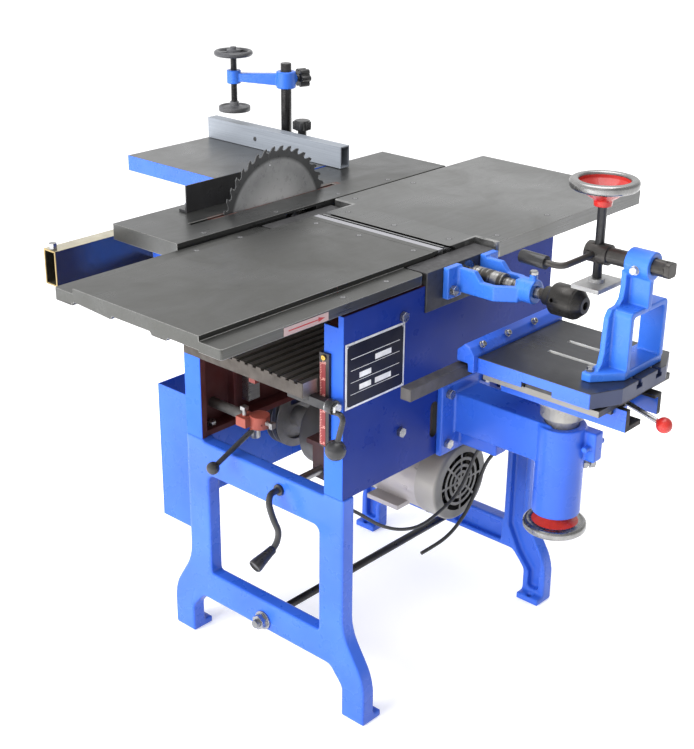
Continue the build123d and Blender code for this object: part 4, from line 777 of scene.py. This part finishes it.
# blank rating plate: dark face in a bright frame, four rivets and empty rules
plate, face, rules = Shape(), Shape(), Shape()
px0, px1, pz0, pz1 = -297.0, -144.0, 621.0, 741.0
rect = lambda x0, x1, z0, z1: [(x0, z0), (x1, z0), (x1, z1), (x0, z1)]
plate.prism((0, -202, 0), (0, -1, 0), (1, 0, 0), [(x, z) for x, z in rect(px0, px1, pz0, pz1)], 0.9, 0.3)
face.prism((0, -202, 0), (0, -1, 0), (1, 0, 0), rect(px0 + 4, px1 - 4, pz0 + 4, pz1 - 4), 1.05)
for x0, x1, z0, z1 in ((-284, -158, 711, 712), (-284, -158, 690, 690.8), (-284, -158, 668, 668.8), (-284, -158, 646, 646.8),
                       (-262, -232, 672, 682), (-222, -180, 694, 704), (-262, -232, 650, 660), (-222, -180, 650, 660)):
    rules.prism((0, -202, 0), (0, -1, 0), (1, 0, 0), rect(x0, x1, z0, z1), 1.2)
plate.make("blank_plate_rim", "white_plate", "frame", "alu")
face.make("blank_plate_face", "plate_face", "frame", "black_plastic")
rules.make("blank_plate_rules", "plate_marks", "frame", "alu")
rivets = Shape()
for x in (px0 + 5, px1 - 5):
    for z in (pz0 + 5, pz1 - 5):
        rivets.turned((x, -203, z), (0, -1, 0), [(2.4, 0), (2.4, 0.3), (1.8, 0.9), (0.8, 1.2)], 16)
rivets.make("plate_rivets", "bright_steel", "frame", "steel")

# feed direction plate on the infeed ledge: plain arrow
ap, ar = Shape(), Shape()
ap.prism((0, -205, 0), (0, -1, 0), (1, 0, 0), rect(-444, -342, 799.5, 813.5), 0.7, 0.2)
ar.prism((0, -205, 0), (0, -1, 0), (1, 0, 0), [(-434, 805.4), (-366, 805.4), (-366, 802.4), (-350, 806.5), (-366, 810.6), (-366, 807.6), (-434, 807.6)], 0.8)
ap.make("feed_arrow_plate", "aged_plate", "infeed", "alu")
ar.make("feed_arrow", "red_print", "infeed", "red_lever")

# thickness scale face
sf, st, sb = Shape(), Shape(), Shape()
sf.prism((-308, 0, 0), (-1, 0, 0), (0, -1, 0), [(154.6, 548), (167.5, 548), (167.5, 702), (154.6, 702)], 0.35)
sf.make("scale_face", "scale_red", "frame", "red_lever")
for k in range(51):
    z = 550 + 3 * k
    w = 6 if k % 10 == 0 else (4.5 if k % 5 == 0 else 3)
    st.prism((-308.3, 0, 0), (-1, 0, 0), (0, -1, 0), [(155, z), (155 + w, z), (155 + w, z + 0.7), (155, z + 0.7)], 0.2)
st.make("scale_ticks", "scale_marks", "frame", "alu")
sb.turned((-308, -164, 712), (-1, 0, 0), [(5.0, 0), (5.0, 2.2), (4.2, 3.0), (1.2, 3.0), (1.2, 2.4)], 24)
sb.make("scale_screw", "brass", "frame", "zinc")
for k in range(6):
    cu = bpy.data.curves.new("scale_number_%d" % k, "FONT")
    cu.body = str(20 * k)
    cu.size = 0.0066
    cu.align_x = "CENTER"
    cu.extrude = 0.00006
    tmp = bpy.data.objects.new("number_text_%d" % k, cu)
    scene.collection.objects.link(tmp)
    tmp.matrix_world = Matrix(((0, 0, -1, -0.3085), (-1, 0, 0, -0.1640), (0, 1, 0, 0.5505 + 0.030 * k), (0, 0, 0, 1)))
    bpy.context.view_layer.update()
    me = bpy.data.meshes.new_from_object(tmp.evaluated_get(bpy.context.evaluated_depsgraph_get()))
    me.transform(tmp.matrix_world)
    me.materials.clear()
    me.materials.append(mats["scale_marks"])
    bpy.data.objects.remove(tmp)
    num = bpy.data.objects.new("scale_number_%d" % (20 * k), me)
    scene.collection.objects.link(num)
    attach(num, "frame")

# lock stud nut
nut = Shape()
nut.hexagon((-322, -203.5, 636), (0, -1, 0), 17, 6.5)
nut.turned((-322, -189, 636), (0, 1, 0), [(5.3, 0), (12, 0), (12, 2.0), (5.3, 2.0)], 28)
nut.make("lock_nut", "bright_steel", "thickness", "steel")

# yoke nose bolt
bolt = Shape()
bolt.hexagon((27, -347, 819), (0, 0, 1), 13, 7)
bolt.make("nose_bolt", "bright_steel", "frame", "steel")

# fence bolts on the mortise fence
fb = Shape()
d = Vector((0, -0.8, 0.6))
for x in (-80, -7, 72):
    o = Vector((x, -322.5, 713))
    fb.turned(o, d, [(6.5, -0.5), (6.5, 1.2), (5.2, 1.4), (5.2, 6.5), (4.4, 7.2), (2.4, 7.2), (2.4, 4.5)], 24)
fb.make("fence_bolts", "bright_steel", "mortise", "steel")

# clamp boss screw
cs = Shape()
cs.turned((17.76, -548, 876), (-1, 0, 0), [(8.0, -2), (8.0, 1.0), (6.5, 1.2)], 24)
cs.hexagon((16.76, -548, 876), (-1, 0, 0), 13, 7)
cs.make("boss_screw", "bright_steel", "mortise", "steel")

# bracket foot bolts
bb = Shape()
for x in (-44, 122):
    bb.turned((x, -518, 709.6), (0, 0, 1), [(7.5, 0), (7.5, 1.8), (5, 1.9)], 24)
    bb.hexagon((x, -518, 711.2), (0, 0, 1), 11, 6)
bb.make("bracket_bolts", "steel", "mortise", "steel")

# set bolt on the mortiser housing
sbt = Shape()
ang = radians(-40)
dv = Vector((cos(ang), sin(ang), 0))
base = Vector((27, -427, 478)) + dv * 43
sbt.turned(base, dv, [(5.0, -1), (5.0, 12), (5.0, 24), (4.2, 25)], 20)
sbt.hexagon(base + dv * 1.0, dv, 17, 8)
sbt.hexagon(base + dv * 14.0, dv, 16, 9)
sbt.make("housing_set_bolt", "mid_steel", "frame", "steel")

# screw on the face of the mitre fence
fs = Shape()
fs.turned((296, 620, 849), (-1, 0, 0), [(5.0, -0.5), (5.0, 0.6), (4.0, 1.4), (1.6, 1.4), (1.6, 0.8)], 20)
fs.make("fence_face_screw", "dark_iron", "fence", "steel")

# carbide tips on the saw teeth
tips = Shape()
for k in range(40):
    a = 2 * pi * k / 40
    o = Vector((27 + 148 * sin(-a), 285, 788 + 148 * cos(-a)))
    radial = Vector((sin(-a), 0, cos(-a)))
    tang = Vector((cos(a), 0, -sin(-a)))
    tips.prism(o - radial * 4.6 + Vector((0, -1.5, 0)), (0, 1, 0), tang, [(0.4, 0), (-1.9, 0), (-2.0, 4.0), (0.3, 4.5)], 3.0)
tips.make("blade_tips", "mid_steel", "spindle", "steel")

# turned grip on the crank
g0, g1 = Vector((-350, -77.3, 325.4)), Vector((-393, -76, 308))
gd = (g1 - g0).normalized()
grip = Shape()
grip.turned(g0, gd, [(7.6, -1), (8.2, 0), (8.6, 4), (9.2, 12), (10.4, 22), (11.8, 32), (12.9, 40), (13.3, 45), (13.1, 47.5), (12.2, 48.6), (10.6, 48.6), (10.2, 47.6), (9.8, 46.4), (0.5, 46.4)], 32)
grip.make("crank_grip", "black_plastic", "hand_crank", "black_plastic")

# motor cover screws and terminal box lid
ms = Shape()
for k in range(3):
    a = radians(90 + 120 * k + 20)
    ms.turned((27 + 78.6 * cos(a), -172, 368 + 78.6 * sin(a)), (cos(a), 0, sin(a)), [(4.2, -0.8), (4.2, 0.8), (3.2, 1.6), (1.0, 1.6)], 18)
ms.make("cover_screws", "steel", "frame", "steel")
tl = Shape()
tl.prism((150, 0, 0), (1, 0, 0), (0, 1, 0), [(-137, 397), (-33, 397), (-33, 449), (-137, 449)], 4.0, 1.2)
for y in (-130, -40):
    for z in (404, 442):
        tl.turned((153.9, y, z), (1, 0, 0), [(3.4, 0), (3.4, 1.2), (2.6, 2.0), (0.8, 2.0)], 16)
tl.make("terminal_lid", "motor_dark", "frame", "fan_cover_grey")

# ------------------------------------------------------------------ floor, light, world
bpy.ops.mesh.primitive_plane_add(size=240, location=(0, 0, -0.0005))
floor = bpy.context.object
floor.name = "floor"
m = Mat("pale_floor")
fl = m.mix(m.span(m.noise(0.8, 3, 0.5), 0.3, 0.7), (0.90, 0.90, 0.905, 1), (0.93, 0.93, 0.93, 1))
m.put(m.b.inputs["Base Color"], fl)
m.b.inputs["Roughness"].default_value = 0.85
m.put(m.b.inputs["Emission Color"], fl)
m.b.inputs["Emission Strength"].default_value = 0.32
floor.data.materials.append(m.m)

world = bpy.data.worlds.new("studio")
scene.world = world
world.use_nodes = True
wt = world.node_tree
wt.nodes.clear()
wo = wt.nodes.new("ShaderNodeOutputWorld")
bg = wt.nodes.new("ShaderNodeBackground")
tc = wt.nodes.new("ShaderNodeTexCoord")
sx = wt.nodes.new("ShaderNodeSeparateXYZ")
wt.links.new(tc.outputs["Generated"], sx.inputs[0])
mx = wt.nodes.new("ShaderNodeMath"); mx.operation = "MULTIPLY_ADD"
wt.links.new(sx.outputs[0], mx.inputs[0]); mx.inputs[1].default_value = -0.35
wt.links.new(sx.outputs[1], mx.inputs[2])
mr = wt.nodes.new("ShaderNodeMapRange"); mr.interpolation_type = "SMOOTHSTEP"
wt.links.new(mx.outputs[0], mr.inputs["Value"])
mr.inputs["From Min"].default_value = -0.72
mr.inputs["From Max"].default_value = 0.05
mr.inputs["To Min"].default_value = 0.50
mr.inputs["To Max"].default_value = 1.02
hz = wt.nodes.new("ShaderNodeMapRange"); hz.interpolation_type = "SMOOTHSTEP"
wt.links.new(sx.outputs[2], hz.inputs["Value"])
hz.inputs["From Min"].default_value = 0.05
hz.inputs["From Max"].default_value = 0.24
hz.inputs["To Min"].default_value = 0.95
hz.inputs["To Max"].default_value = 0.0
mm = wt.nodes.new("ShaderNodeMath"); mm.operation = "MAXIMUM"
wt.links.new(mr.outputs[0], mm.inputs[0])
wt.links.new(hz.outputs[0], mm.inputs[1])
wt.links.new(mm.outputs[0], bg.inputs["Strength"])
bg.inputs["Color"].default_value = (1.0, 1.0, 1.0, 1)
wt.links.new(bg.outputs[0], wo.inputs[0])


def area(name, loc, aim, size, power, color=(1, 1, 1)):
    ld = bpy.data.lights.new(name, "AREA")
    ld.shape = "RECTANGLE"
    ld.size, ld.size_y = size
    ld.energy = power
    ld.color = color
    lo = bpy.data.objects.new(name, ld)
    scene.collection.objects.link(lo)
    lo.location = loc
    lo.rotation_mode = "QUATERNION"
    lo.rotation_quaternion = (Vector(aim) - Vector(loc)).to_track_quat("-Z", "Y")
    return lo


key = area("key", (-4.7, 1.2, 2.0), (0, 0, 0.55), (4.4, 3.4), 500)
# the soft boxes at the two ends light the faces but leave no glare on the ground tables
key.visible_glossy = False
area("fill", (-0.6, -3.4, 1.6), (0, 0, 0.55), (2.4, 1.8), 1)
area("top", (0.2, 0.0, 3.4), (0, -0.1, 0.8), (2.4, 2.4), 62)
rim = area("rim", (3.6, 0.3, 0.8), (0, 0, 0.45), (1.8, 1.2), 45)
rim.visible_glossy = False
scene.view_settings.view_transform = "Standard"
scene.view_settings.look = "None"
scene.view_settings.exposure = 0.0
